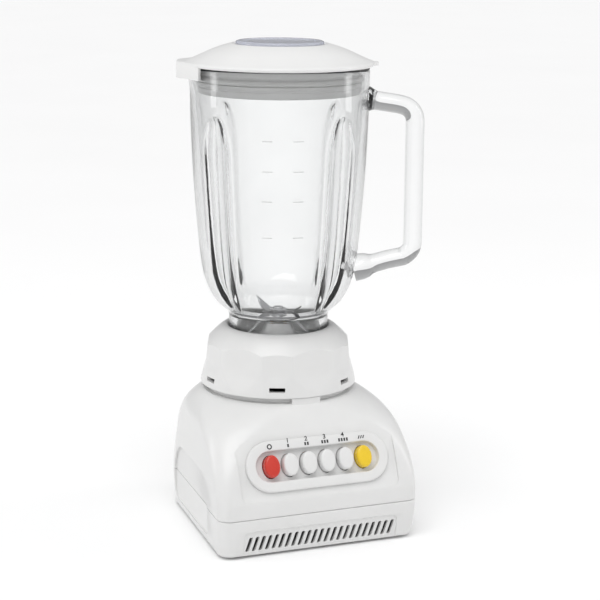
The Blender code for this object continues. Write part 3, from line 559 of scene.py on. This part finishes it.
def make_upper_shell(looks):
    rings = [upper_section(SEAM + 0.2, 0.4), upper_section(SEAM + 0.35, 0.12),
             upper_section(SEAM + 0.7)]
    count = 46
    low, high = SEAM + 2.5, DECK - 0.9
    for i in range(count + 1):
        rings.append(upper_section(low + (high - low) * (1.0 - (1.0 - i / count) ** 1.4)))
    rings += [upper_section(DECK, 0.15, DECK - 0.35), upper_section(DECK, 0.4, DECK - 0.1),
              upper_section(DECK, 0.9)]
    shell = lofted("base_upper_shell", rings)
    inside = [upper_section(SEAM, WALL, SEAM - 5.0)]
    for z in (45.0, 54.0, 63.0, 72.0, 80.0, 88.0, 95.0, 100.0, 103.0):
        inside.append(upper_section(z + WALL, WALL, z))
    carve(shell, lofted("inside_tool", inside))
    bore = SPIGOT_RADIUS - 3.0
    spigot = [(bore, DECK - 3.0), (SPIGOT_RADIUS, DECK - 3.0), (SPIGOT_RADIUS, SPIGOT_TOP),
              (bore, SPIGOT_TOP)]
    carve(shell, turned("spigot_tool", fillet(spigot, 0.6)), "UNION")
    lugs = []
    half = LUG_ANGLE / 2.0
    for turn in (-90.0, 30.0, 150.0):
        lugs.append(arc((0.0, 0.0), (LUG_OUTER, LUG_OUTER), turn - half, turn + half, 12)
                    + arc((0.0, 0.0), (LUG_INNER, LUG_INNER), turn + half, turn - half, 12))
    carve(shell, prisms("lug_tool", lugs, DECK - 2.0, COLLAR_FOOT - GAP), "UNION")
    carve(shell, prisms("hole_tool", [circle(COUPLER_HOLE)], 90.0, 130.0))
    carve(shell, prisms("panel_tool", [panel_outline()], 0.0, 30.0, PANEL))
    carve(shell, prisms("opening_tool", [stadium(OPENING_HALF)], -14.0, 8.0, PANEL))
    for side in (-1.0, 1.0):
        carve(shell, side_recess_tool(side))
    soften(shell, 0.35)
    finish_piece(shell, "base", looks["white"], ["upper_housing", "deck_ring"])


def vent_outlines():
    """The front slots, seen from the front in x and z; their tops lean to the right."""
    outlines = []
    half = VENT_WIDTH / 2.0
    for i in range(VENT_COUNT):
        middle = (i - (VENT_COUNT - 1) / 2.0) * VENT_PITCH
        low = middle - VENT_LEAN / 2.0
        high = middle + VENT_LEAN / 2.0
        outlines.append(fillet([(low - half, VENT_LOW), (low + half, VENT_LOW),
                                (high + half, VENT_HIGH), (high - half, VENT_HIGH)], 1.3, 4))
    return outlines


def vent_panel_tool():
    """Cutter for the sunk field round the slots, with rounded upper corners."""
    rings = []
    half, corner = VENT_PANEL_HALF, VENT_PANEL_CORNER
    stations = [-half + corner * (1.0 - math.cos(math.radians(a))) for a in range(0, 91, 10)]
    stations += [-x for x in reversed(stations)]
    for x in stations:
        over = max(0.0, abs(x) - (half - corner))
        top = VENT_PANEL_TOP - corner + math.sqrt(max(0.0, corner ** 2 - over ** 2))
        heights = [-3.0] + [UNDERSIDE + (top - UNDERSIDE) * i / 16 for i in range(17)]
        curve = [(FRONT + 4.0 * lower_drop(max(z, UNDERSIDE)) + VENT_PANEL_DEPTH, z) for z in heights]
        outline = curve + [(FRONT - 8.0, top), (FRONT - 8.0, heights[0])]
        rings.append([(x, y, z) for y, z in outline])
    return lofted("vent_panel_tool", rings)


def spokes(count, near, far, half):
    """Outlines of straight radial slots with round ends."""
    outlines = []
    for i in range(count):
        turn = Matrix.Rotation(2.0 * math.pi * i / count, 2)
        corners = fillet([(near, -half), (far, -half), (far, half), (near, half)], half * 0.95)
        outlines.append([tuple(turn @ Vector(corner)) for corner in corners])
    return outlines


def make_lower_shell(looks):
    top = SEAM - 0.2
    rings = [lower_section(UNDERSIDE, 1.8), lower_section(UNDERSIDE + 0.25, 1.0),
             lower_section(UNDERSIDE + 0.7, 0.4), lower_section(UNDERSIDE + 1.6)]
    rings += [lower_section(4.5 + (top - 5.2) * i / 20) for i in range(21)]
    rings += [lower_section(top - 0.15, 0.12), lower_section(top, 0.4)]
    shell = lofted("base_lower_shell", rings)
    floor = UNDERSIDE + 3.0
    inside = [lower_section(floor, WALL + 0.6), lower_section(12.0, WALL),
              lower_section(SEAM - 0.01, WALL, SEAM + 5.0)]
    carve(shell, lofted("inside_tool", inside))
    carve(shell, prisms("post_tool", both_sides(BOSS_PLACES, 5.4), floor - 1.0, top), "UNION")
    carve(shell, prisms("bore_tool", both_sides(BOSS_PLACES, 2.0), -3.0, 40.0))
    carve(shell, prisms("head_tool", both_sides(BOSS_PLACES, 4.0), -3.0, 8.0))
    carve(shell, prisms("foot_tool", both_sides(FOOT_PLACES, 2.9), -3.0, 9.0))
    carve(shell, vent_panel_tool())
    carve(shell, prisms("vent_tool", vent_outlines(), 80.0, 105.0, UPRIGHT))
    carve(shell, prisms("intake_tool", spokes(14, 16.0, 31.0, 1.5), -2.0, floor + 2.0))
    carve(shell, prisms("inlet_tool", [circle(6.3)], 0.0, 20.0, INLET))
    for side in (-1.0, 1.0):
        carve(shell, side_recess_tool(side))
    soften(shell, 0.3)
    finish_piece(shell, "base", looks["white"], ["bottom_housing"])


# ---------------------------------------------------------------- controls

def button_places():
    names = ("off", "speed_1", "speed_2", "speed_3", "speed_4", "pulse")
    return [(name, (i - 2.5) * BUTTON_PITCH) for i, name in enumerate(names)]


def make_control_frame(looks):
    """Raised plate round the recess, its edges rounded, and the recess with its six holes."""
    well = OPENING_HALF[0] - GAP * 2 - RECESS_HALF[0]
    outer = FRAME_HALF[0] - RECESS_HALF[0]
    profile = [(-1.6, RECESS_FLOOR), (-0.5, RECESS_FLOOR + 0.1), (0.0, RECESS_FLOOR + 0.8),
               (0.0, FRAME_FACE - 1.2), (0.15, FRAME_FACE - 0.5), (0.6, FRAME_FACE - 0.1),
               (1.3, FRAME_FACE), (outer - 1.6, FRAME_FACE), (outer - 0.7, FRAME_FACE - 0.2),
               (outer - 0.15, FRAME_FACE - 0.8), (outer, FRAME_FACE - 1.7), (outer, GAP),
               (well, GAP), (well, RECESS_UNDER)]
    rings = []
    for reach, z in profile:
        half = (RECESS_HALF[0] + reach, RECESS_HALF[1] + reach)
        rings.append([(x, y, z) for x, y in stadium(half)])
    plate = lofted("control_surround", rings, PANEL)
    hole = (BUTTON_HALF[0] + BUTTON_CLEARANCE, BUTTON_HALF[1] + BUTTON_CLEARANCE)
    holes = [oval(hole, (x, 0.0)) for _, x in button_places()]
    carve(plate, prisms("hole_tool", holes, -12.0, 0.0, PANEL))
    finish_piece(plate, "base", looks["white"], ["control_frame"])


def make_buttons(looks):
    """Oval caps with a rolled edge and a slightly domed face, each on its stem."""
    colours = {"off": ("red", "red_button"), "pulse": ("yellow", "yellow_button")}
    for name, x in button_places():
        stem = circle(2.2, (x, 0.0))
        rings = [[(px, py, z) for px, py in stem] for z in (STEM_FOOT, BUTTON_FOOT)]
        edge = [(BUTTON_FOOT, 0.3), (BUTTON_FOOT + 0.4, 0.0), (3.2, 0.0), (4.1, 0.1), (4.8, 0.35),
                (5.25, 0.8), (5.5, 1.4), (5.62, 2.1)]
        for z, inset in edge:
            half = (BUTTON_HALF[0] - inset, BUTTON_HALF[1] - inset)
            rings.append([(px, py, z) for px, py in oval(half, (x, 0.0))])
        for share in (0.8, 0.6, 0.4, 0.2, 0.05):
            half = ((BUTTON_HALF[0] - 2.1) * share, (BUTTON_HALF[1] - 2.1) * share)
            crown = BUTTON_FACE + 0.4 * (1.0 - share ** 2)
            rings.append([(px, py, crown) for px, py in oval(half, (x, 0.0))])
        look, slot = colours.get(name, ("white", "white_shell"))
        cap = lofted(f"key_{name}", rings, PANEL)
        finish_piece(cap, name + "_button", looks[look], [f"button_{name}"], 50.0)


def add_text(text, place, size, frame):
    """Printed character as a thin mesh, centred on place."""
    curve = bpy.data.curves.new("text", "FONT")
    curve.body = text
    curve.size = size
    curve.align_x = "CENTER"
    curve.align_y = "CENTER"
    curve.extrude = 0.03
    curve.offset = 0.09
    obj = bpy.data.objects.new("text", curve)
    bpy.context.scene.collection.objects.link(obj)
    bpy.context.view_layer.update()
    mesh = bpy.data.meshes.new_from_object(obj.evaluated_get(bpy.context.evaluated_depsgraph_get()))
    bpy.data.objects.remove(obj, do_unlink=True)
    bm = bmesh.new()
    bm.from_mesh(mesh)
    bpy.data.meshes.remove(mesh)
    bmesh.ops.translate(bm, vec=place, verts=bm.verts)
    return new_object("text", bm, frame)


def bars(x, count):
    """A row of short upright bars, centred on x."""
    low, high = LABEL_HEIGHT - 3.0, LABEL_HEIGHT - 0.5
    outlines = []
    for bar in range(count):
        middle = x + (bar - (count - 1) / 2.0) * 2.2
        left, right = middle - 0.7, middle + 0.7
        outlines.append([(left, low), (right, low), (right, high), (left, high)])
    return outlines


def zigzag(x, y):
    """Three short slanted strokes."""
    strokes = []
    for i in range(3):
        left = x + (i - 1) * 1.9
        strokes.append([(left - 1.0, y - 1.2), (left - 0.1, y - 1.2),
                        (left + 1.0, y + 1.2), (left + 0.1, y + 1.2)])
    return strokes


def make_labels(looks):
    """Generic marks above the keys: a ring, one to four bars with a number, and a zigzag."""
    low = FRAME_FACE + MARK_LIFT
    high = low + MARK_THICKNESS
    (_, x_off), *speeds, (_, x_pulse) = button_places()
    outlines = []
    for number, (_, x) in enumerate(speeds, 1):
        outlines += bars(x, number)
    outlines += zigzag(x_pulse, LABEL_HEIGHT - 1.2)
    marks = prisms("control_marks", outlines, low, high, PANEL)
    finish_piece(marks, "base", looks["ink"], [])
    ring = []
    for radius, z in ((2.1, low), (2.1, high), (1.2, high), (1.2, low)):
        ring.append([(x, y, z) for x, y in circle(radius, (x_off, LABEL_HEIGHT - 1.2))])
    off = lofted("control_mark_off", ring, PANEL, loop=True)
    finish_piece(off, "base", looks["ink"], [])
    for number, (_, x) in enumerate(speeds, 1):
        place = (x, LABEL_HEIGHT + 2.1, low + MARK_THICKNESS / 2.0)
        text = add_text(str(number), place, LABEL_SIZE, PANEL)
        text.name = f"control_number_{number}"
        finish_piece(text, "base", looks["ink"], [])


# ---------------------------------------------------------------- collar and blades

# Height and radius of the edges between the flats
GRIP_CORNERS = ((118.0, 64.8), (131.0, 60.3), (147.5, 58.7), (162.0, 57.2))
# Heights of the rings on the collar's side, close together where the flats begin
SIDE_HEIGHTS = (114.6, 116.5, 118.6, 120.4, 121.4, 122.4, 123.4, 124.4, 125.4, 126.4, 129.0, 132.0)


def grip(degrees, radius, z):
    """Collar radius with its flats: a narrow one at each slot and a wide one between slots."""
    if z <= GRIP_CORNERS[0][0] or radius < 50.0:
        return radius
    for (low, near), (high, far) in zip(GRIP_CORNERS, GRIP_CORNERS[1:]):
        if low <= z <= high:
            corner = near + (far - near) * (z - low) / (high - low)
    away = abs(degrees % 60.0 - 30.0)
    half = FLAT_HALF_ANGLE
    if away > half:
        away, half = 30.0 - away, 30.0 - half
    return min(radius, corner * math.cos(math.radians(half)) / math.cos(math.radians(away)))


def make_collar(looks):
    side = [(62.3 - 2.3 * (z - COLLAR_FOOT) / 18.0, z) for z in SIDE_HEIGHTS]
    side += [(59.6, 136.5), (59.2, 141.0), (58.95, 144.5)]
    shoulder = smooth_line([(58.8, 145.6), (58.2, 146.8), (54.2, 151.2), (50.0, 155.4),
                            (46.5, 158.4), (44.0, 159.9)], 10)
    outline = [(61.9, COLLAR_FOOT), (62.2, COLLAR_FOOT + 0.3)] + side + shoulder
    outline += [(42.6, COLLAR_TOP), (41.4, COLLAR_TOP), (40.6, COLLAR_TOP - 0.3),
                (COLLAR_BORE, COLLAR_TOP - 0.9), (COLLAR_BORE, LEDGE_TOP), (LEDGE_BORE, LEDGE_TOP),
                (LEDGE_BORE, LEDGE_UNDER), (49.9, LEDGE_UNDER), (52.0, 132.0), (53.6, 124.0),
                (57.0, 120.0), (58.4, COLLAR_FOOT)]
    collar = turned("jug_collar", outline, JUG, 240, grip)
    tools = bmesh.new()
    window = fillet([(-SLOT_HALF, SLOT_LOW), (SLOT_HALF, SLOT_LOW),
                     (SLOT_HALF, SLOT_TOP), (-SLOT_HALF, SLOT_TOP)], 0.5, 3)
    for i in range(GRIP_FLATS):
        turn = Matrix.Rotation(math.radians(360.0 / GRIP_FLATS * i - 90.0), 3, "Z")
        add_skin(tools, [[tuple(turn @ Vector((x, y, z))) for y, z in window] for x in (50.0, 72.0)])
    carve(collar, new_object("slot_tool", tools, JUG))
    finish_piece(collar, "collar", looks["white"], ["collar"], 12.0)


def make_round_pieces(looks):
    """Finely turned pieces in place of coarse CAD ones."""
    neck = UNDERSIDE - GAP
    foot = [(0.0, 0.0), (6.4, 0.0), (7.0, 0.6), (7.0, neck), (2.5, neck), (2.5, 6.4), (0.0, 6.4)]
    for end, (x, y) in zip(("front", "rear"), FOOT_PLACES):
        for word, side in (("left", -1.0), ("right", 1.0)):
            piece = turned(f"rubber_foot_{end}_{word}", fillet(foot, 0.4, 3), None, 48, at=(side * x, y))
            finish_piece(piece, "base", looks["rubber"], [f"foot_{end}_{word}"])
    inlet = [(3.4, 2.6), (8.0, 2.6), (8.0, 4.1), (5.9, 4.1), (5.9, 9.4), (8.0, 9.4), (8.0, 11.0),
             (3.4, 11.0)]
    cone = smooth_line([(32.0, 146.0), (26.0, 147.2), (20.0, 149.6), (15.0, 153.5), (12.0, 158.0),
                        (10.0, 163.0)], 4)
    seat = LEDGE_TOP + GAP
    carrier = [(8.0, 131.5), (12.0, 131.5), (12.6, 141.0), (33.4, 141.0), (33.4, seat),
               (39.2, seat), (39.2, 145.8)] + cone + [(8.0, 163.0)]
    seal = [(63.2, 355.4), (64.6, 355.4), (66.0, 357.2), (64.6, 359.0), (63.2, 359.0)]
    gasket = [(34.4, 146.1), (39.2, 146.1), (39.2, 147.7), (34.4, 147.7)]
    shaft = [(0.0, 119.0), (SHAFT_RADIUS, 119.0), (SHAFT_RADIUS, 173.0),
             (SHAFT_RADIUS - 0.8, 174.4), (0.0, 174.4)]
    table = (
        ("cord_bush", "cord_inlet", inlet, INLET, "base", "dark", "dark_plastic"),
        # the blade plate takes the lightened steel, painted light for its shade under the glass
        ("blade_plate", "blade_carrier", carrier, JUG, "collar", "plate", "blade_steel"),
        ("lid_ring", "lid_seal", seal, JUG, "lid", "seal", "seal_silicone"),
        ("jug_ring", "jug_gasket", gasket, JUG, "collar", "seal", "seal_silicone"),
        ("blade_spindle", "blade_shaft", shaft, JUG, "blades", "steel", "blade_steel"),
    )
    for name, node, outline, frame, body, look, slot in table:
        piece = turned(name, fillet(outline, 0.5, 3), frame)
        finish_piece(piece, body, looks[look], [node])


def make_couplings(looks):
    drive = turned("drive_socket", fillet([(BORE_RADIUS, 106.3), (14.5, 106.3), (14.5, SOCKET_TOP),
                                           (BORE_RADIUS, SOCKET_TOP)], 0.7, 3), JUG)
    socket = star(COUPLING_OUTER + COUPLING_CLEARANCE, COUPLING_ROOT + COUPLING_CLEARANCE)
    carve(drive, prisms("socket_tool", [socket], SOCKET_FLOOR, SOCKET_TOP + 5.0, JUG))
    finish_piece(drive, "rotor", looks["dark"], ["drive_coupler"])
    driven = prisms("driven_star", [star(COUPLING_OUTER, COUPLING_ROOT)], 114.8, 124.0, JUG)
    disc = fillet([(0.0, 123.0), (13.0, 123.0), (13.0, 128.0), (0.0, 128.0)], 0.7, 3)
    carve(driven, turned("disc_tool", disc, JUG), "UNION")
    carve(driven, prisms("bore_tool", [circle(BORE_RADIUS)], 118.6, 135.0, JUG))
    finish_piece(driven, "blades", looks["dark"], ["driven_coupler"])


def make_blade(name, node, looks, turn, level, stations, widths):
    """Two-armed blade with ground edges, bent upwards or downwards to pointed tips."""
    line = smooth_line(fillet([(0.0, stations[0][1])] + list(stations), 2.0, 4, closed=False), 2)
    reach = stations[-1][0]
    thickness = 1.6
    knee = stations[1][0] / reach
    arm = []
    for r, z in line:
        share = r / reach
        if share < knee:
            width = widths[0] + (widths[1] - widths[0]) * share / knee
        else:
            width = widths[1] + (widths[2] - widths[1]) * (share - knee) / (1.0 - knee)
        arm.append((r, z, width))
    path = [(-r, z, w) for r, z, w in reversed(arm[1:])] + arm
    spin = Matrix.Rotation(math.radians(turn), 3, "Z")
    rings = []
    for r, z, w in path:
        ground = min(1.3, w * 0.6)
        sweep = 1.5 * ease(0.5, 1.0, abs(r) / reach) * (1.0 if r > 0 else -1.0)
        flat = w - ground
        section = ((-w, 0.5), (-flat, 1.0), (flat, 1.0), (w, 0.5), (flat, 0.0), (-flat, 0.0))
        rings.append([tuple(spin @ Vector((r, y + sweep, z + h * thickness))) for y, h in section])
    blade = lofted(name, rings, JUG)
    carve(blade, prisms("bore_tool", [circle(BORE_RADIUS)], level - 10.0, level + 10.0, JUG))
    finish_piece(blade, "blades", looks["steel"], [node], 20.0)


def make_blades(looks):
    make_blade("blade_down", "lower_blade", looks, 0.0, 165.0,
               ((9.0, 165.0), (13.0, 163.0), (25.0, 151.5)), (7.4, 6.8, 3.2))
    make_blade("blade_up", "upper_blade", looks, -45.0, 167.3,
               ((9.0, 167.3), (13.0, 169.0), (24.0, 177.5)), (6.8, 5.8, 0.5))
    hexagon = fillet(oval((6.9, 6.9), steps=6), 0.4, 2)
    nut = prisms("blade_lock_nut", [hexagon], 169.4, 172.8, JUG)
    carve(nut, prisms("bore_tool", [circle(BORE_RADIUS)], 160.0, 180.0, JUG))
    soften(nut, 0.4)
    finish_piece(nut, "blades", looks["steel"], ["blade_nut"])


# ---------------------------------------------------------------- jug

def flute(angle, z):
    """Inward push of the wall at an angle in degrees from the handle, 0 to FLUTE_DEPTH."""
    away = abs((angle % 90.0) - 45.0) / FLUTE_HALF_ANGLE
    if not FLUTE_LOW < z < FLUTE_HIGH:
        return 0.0
    narrow = min(1.0, math.sqrt((FLUTE_HIGH - z) / 26.0), math.sqrt((z - FLUTE_LOW) / 30.0))
    away /= max(0.05, narrow)
    if away >= 1.0:
        return 0.0
    fade = ease(0.0, 1.0, min(1.0, (z - FLUTE_LOW) / 16.0, (FLUTE_HIGH - z) / 9.0))
    return FLUTE_DEPTH * fade * (0.5 * (1.0 + math.cos(math.pi * away))) ** 0.8


def spout(angle, z):
    """Outward push of the rim opposite the handle, which forms the pouring lip."""
    away = abs((angle % 360.0) - 180.0) / SPOUT_HALF_ANGLE
    if away >= 1.0 or z < SPOUT_LOW:
        return 0.0
    climb = (z - SPOUT_LOW) / (RIM - SPOUT_LOW)
    return SPOUT_REACH * climb ** 2 * 0.5 * (1.0 + math.cos(math.pi * away))


def jug_radius(degrees, radius, z):
    return radius - flute(degrees, z) + spout(degrees, z)


# Radius and height along the two faces of the jug's wall
OUTSIDE = ((39.6, 168.5), (41.0, 172.0), (44.5, 175.3), (49.6, 180.0), (54.0, 186.5), (57.6, 194.5),
           (60.3, 204.0), (62.9, 222.0), (65.7, 252.0), (68.2, 288.0), (69.6, 320.0), (70.0, 334.0),
           (70.1, 348.0), (70.3, 358.0), (70.3, 363.4))
INSIDE = ((66.6, 363.4), (66.4, 348.0), (65.8, 334.0), (64.8, 320.0), (62.2, 288.0), (59.4, 252.0),
          (56.6, 222.0), (52.4, 200.0), (45.5, 185.0), (37.0, 176.0), (33.5, 168.5))


def make_handle():
    """D-shaped handle: an oval section along an arm, a grip and an arm, flared at the wall."""
    reach, bend = 106.3, 13.0
    top = [(68.0, 340.4), (73.0, 339.7), (80.0, 338.6), (87.0, 337.6), (reach - bend, 336.6)]
    top += arc((reach - bend, 336.2 - bend), (bend, bend), 80.0, 5.0, 9)
    low = arc((reach - bend, 214.5 + bend), (bend, bend), -5.0, -70.0, 9)
    low += [(87.0, 213.0), (80.0, 211.0), (70.0, 208.2), (59.5, 205.4)]
    middle = [(reach, 335.0 - 4.0 * i) for i in range(4, 27)]
    path = [Vector((x, 0.0, z)) for x, z in smooth_line(top, 3) + middle + smooth_line(low, 3)]
    section = oval((7.4, 9.0), steps=40)
    side = Vector((0.0, 1.0, 0.0))
    rings = []
    for i, point in enumerate(path):
        along = (path[min(i + 1, len(path) - 1)] - path[max(i - 1, 0)]).normalized()
        out = side.cross(along)
        flare = 1.0 + 0.42 * ease(0.0, 1.0, (76.0 - point.x) / 9.0)
        rings.append([tuple(point + side * (y * flare) + out * (x * flare)) for x, y in section])
    return lofted("handle_tool", rings, JUG)


def make_jug(looks):
    rim = [(70.2, 364.6), (69.6, 365.6), (68.9, RIM), (68.0, RIM), (67.3, 365.6), (66.8, 364.8)]
    outline = [(38.7, NECK_FOOT), (39.2, NECK_FOOT + 0.5), (39.3, 155.0), (39.5, 162.0)]
    outline += smooth_line(OUTSIDE, 6) + rim + smooth_line(INSIDE, 6)
    outline += [(33.5, 162.0), (33.5, 155.0), (33.5, NECK_FOOT + 0.5), (34.0, NECK_FOOT)]
    jug = turned("pressed_glass_jug", outline, JUG, JUG_STEPS, jug_radius)
    carve(jug, make_handle(), "UNION")
    finish_piece(jug, "jug", looks["glass"], ["glass_jug"], 60.0)


def outside_radius(z):
    """Radius of the jug's wall at a height, along the outside line."""
    for (r0, z0), (r1, z1) in zip(OUTSIDE, OUTSIDE[1:]):
        if z0 <= z <= z1:
            return r0 + (r1 - r0) * (z - z0) / (z1 - z0)
    return OUTSIDE[-1][0]


def make_marks(looks):
    """Two columns of fine frosted dashes on the front of the jug."""
    bm = bmesh.new()
    for z in MARK_HEIGHTS:
        radius = outside_radius(z) + 0.06
        low, high = z - MARK_HALF, z + MARK_HALF
        for left, right in MARK_COLUMNS:
            grid = []
            for i in range(7):
                x = left + (right - left) * i / 6.0
                y = -math.sqrt(radius ** 2 - x ** 2)
                out = Vector((x, y, 0.0)).normalized() * 0.09
                far_x, far_y = x + out.x, y + out.y
                grid.append([(x, y, low), (x, y, high), (far_x, far_y, high), (far_x, far_y, low)])
            add_skin(bm, grid)
    marks = new_object("jug_scale", bm, JUG)
    finish_piece(marks, "jug", looks["frost"], [])


# ---------------------------------------------------------------- lid

def make_lid(looks):
    dome = smooth_line([(38.0, LID_TOP + 0.6), (46.0, 380.9), (54.3, 377.8), (61.3, 374.6),
                        (68.0, 371.6), (72.4, 369.9)], 8)
    skirt = [(64.9, 365.4), (64.7, 364.2), (64.7, 361.6), (64.1, 360.9), (62.8, 359.4),
             (62.8, 355.0), (64.4, 354.6), (64.3, 352.4), (63.5, 351.8), (63.5, 350.9),
             (64.2, 350.3), (63.8, 346.6), (63.4, 345.7)]
    outline = [(LID_HOLE, LID_TOP - 3.0), (LID_HOLE, LID_TOP - 0.3), (LID_HOLE + 0.3, LID_TOP),
               (36.4, LID_TOP), (37.0, LID_TOP + 0.5)] + dome
    outline += [(73.3, 369.4), (73.8, 368.9), (LID_RADIUS, 368.2), (73.8, 367.4), (73.2, 366.7),
                (72.2, LID_UNDER), (65.6, LID_UNDER), (65.1, 366.0)] + skirt
    outline += [(62.6, 345.4), (61.0, 345.4), (60.6, 346.0), (61.0, 366.0), (55.0, 373.4),
                (36.0, LID_TOP - 3.4)]
    lid = turned("jug_lid", outline, JUG, 192)
    plate = [(-61.6, -40.0), (-80.0, -12.0), (-80.0, 12.0), (-61.6, 40.0)]
    plate = fillet(plate, 2.0, 4, closed=False)
    half = math.degrees(math.atan2(40.0, 61.6))
    roof = plate + arc((0.0, 0.0), (62.0, 62.0), 180.0 - half, 180.0 + half, 12)
    carve(lid, prisms("roof_tool", [roof], LID_UNDER + GAP, 369.4, JUG), "UNION")
    inner = 1.0 - 2.3 / 73.5
    wall = plate + [(x * inner, y * inner) for x, y in reversed(plate)]
    carve(lid, prisms("wall_tool", [wall], SPOUT_COVER_LOW, 367.6, JUG), "UNION")
    thumb = fillet([(62.0, -9.0), (76.7, -6.0), (76.7, 6.0), (62.0, 9.0)], 2.5)
    carve(lid, prisms("thumb_tool", [thumb], LID_UNDER + GAP, 369.2, JUG), "UNION")
    soften(lid, 0.35)
    # The lid takes its lighter white, painted light for the shade on its skirt.
    finish_piece(lid, "lid", looks["lid"], ["lid"], 36.0)


def make_filler_cap(looks):
    """Measuring cup, mouth down, whose flange closes the hole in the lid."""
    seat = LID_TOP + GAP
    outline = [(0.0, CAP_TOP - 1.3), (20.0, CAP_TOP - 1.2), (27.0, CAP_TOP - 1.0),
               (28.2, CAP_TOP - 0.7), (29.4, CAP_TOP - 0.1), (30.4, CAP_TOP), (33.0, CAP_TOP - 0.1),
               (34.1, CAP_TOP - 0.5), (CAP_RADIUS, CAP_TOP - 1.3), (CAP_RADIUS, seat + 0.2),
               (34.3, seat), (26.9, seat), (26.6, LID_TOP - 0.1), (25.6, 351.4), (25.2, 351.0),
               (23.8, 351.0), (23.4, 351.4), (24.4, 380.6), (23.6, 381.6), (0.0, 381.8)]
    cap = turned("measuring_cap", outline, JUG, 128)
    finish_piece(cap, "cap", looks["tinted"], ["filler_cap"], 45.0)


# ---------------------------------------------------------------- the rest

def dress_cad_nodes(frame, looks):
    """Inner pieces keep their CAD shape and get a procedural material by their record slot."""
    by_slot = {
        "white_shell": "white", "dark_plastic": "dark", "foot_rubber": "rubber",
        "seal_silicone": "seal", "blade_steel": "steel", "plain_steel": "plated",
        "lamination_steel": "iron", "copper": "copper", "bronze": "bronze", "carbon": "carbon",
        "red_button": "red", "yellow_button": "yellow", "jug_glass": "glass",
        "tinted_clear": "tinted",
    }
    for part in frame["record"]["subparts"]:
        node = frame["nodes"][part["node"]]
        node.data.materials.clear()
        node.data.materials.append(looks[by_slot[part["material_slot"]]])


def make_floor(looks):
    half = FLOOR_HALF
    square = [(-half, -half), (half, -half), (half, half), (-half, half)]
    floor = prisms("pale_floor", [square], -20.0, -0.05)
    floor.data.materials.append(looks["floor"])


def add_area(name, place):
    """Upright soft strip of light at place, turned to the jug."""
    data = bpy.data.lights.new(name, "AREA")
    data.shape = "RECTANGLE"
    data.size = STRIP_SIZE[0] * MM
    data.size_y = STRIP_SIZE[1] * MM
    data.energy = STRIP_POWER
    light = bpy.data.objects.new(name, data)
    light.location = Vector(place) * MM
    light.rotation_mode = "QUATERNION"
    light.rotation_quaternion = (Vector(STRIP_AIM) - Vector(place)).to_track_quat("-Z", "Y")
    bpy.context.scene.collection.objects.link(light)


def make_world():
    """Plain studio surround: bright overhead and a little to the front, dimmer away from there."""
    world = bpy.data.worlds.new("studio")
    bpy.context.scene.world = world
    world.use_nodes = True
    nodes, links = world.node_tree.nodes, world.node_tree.links
    coords = nodes.new("ShaderNodeTexCoord")
    facing = nodes.new("ShaderNodeVectorMath")
    facing.operation = "DOT_PRODUCT"
    facing.inputs[1].default_value = Vector(SKY_DIRECTION).normalized()
    links.new(coords.outputs["Generated"], facing.inputs[0])
    span = nodes.new("ShaderNodeMapRange")
    span.inputs["From Min"].default_value = -1.0
    links.new(facing.outputs["Value"], span.inputs["Value"])
    ramp = nodes.new("ShaderNodeValToRGB")
    ramp.color_ramp.elements[0].position = 0.34
    ramp.color_ramp.elements[0].color = SKY_DIM
    ramp.color_ramp.elements[1].position = 0.95
    ramp.color_ramp.elements[1].color = SKY_BRIGHT
    links.new(span.outputs["Result"], ramp.inputs["Fac"])
    links.new(ramp.outputs["Color"], nodes["Background"].inputs["Color"])


def make_lights():
    data = bpy.data.lights.new("soft_sun", "SUN")
    data.energy = SUN_STRENGTH
    data.angle = math.radians(SUN_SPREAD)
    sun = bpy.data.objects.new("soft_sun", data)
    sun.rotation_mode = "QUATERNION"
    sun.rotation_quaternion = (-Vector(KEY_DIRECTION)).to_track_quat("-Z", "Y")
    bpy.context.scene.collection.objects.link(sun)
    add_area("strip_right", (1100.0, -300.0, 600.0))
    add_area("strip_left", (-1200.0, 500.0, 600.0))


def make_camera():
    azimuth = math.radians(CAMERA_AZIMUTH)
    pitch = math.radians(CAMERA_PITCH)
    roll = math.radians(CAMERA_ROLL)
    forward = Vector((math.sin(azimuth) * math.cos(pitch), math.cos(azimuth) * math.cos(pitch),
                      -math.sin(pitch)))
    right = Vector((math.cos(azimuth), -math.sin(azimuth), 0.0))
    up = right.cross(forward)
    across = right * math.cos(roll) + up * math.sin(roll)
    above = up * math.cos(roll) - right * math.sin(roll)
    data = bpy.data.cameras.new("camera")
    data.lens = CAMERA_LENS
    data.sensor_width = SENSOR
    camera = bpy.data.objects.new("camera", data)
    turn = Matrix((across, above, -forward)).transposed().to_4x4()
    camera.matrix_world = Matrix.Translation(Vector(CAMERA_PLACE) * MM) @ turn
    bpy.context.scene.collection.objects.link(camera)
    bpy.context.scene.camera = camera


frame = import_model()
looks = make_looks()
make_camera()
make_world()
make_lights()
make_floor(looks)
dress_cad_nodes(frame, looks)
make_upper_shell(looks)
make_lower_shell(looks)
make_control_frame(looks)
make_buttons(looks)
make_labels(looks)
make_collar(looks)
make_round_pieces(looks)
make_couplings(looks)
make_blades(looks)
make_jug(looks)
make_marks(looks)
make_lid(looks)
make_filler_cap(looks)
bpy.context.scene.view_settings.view_transform = "Standard"
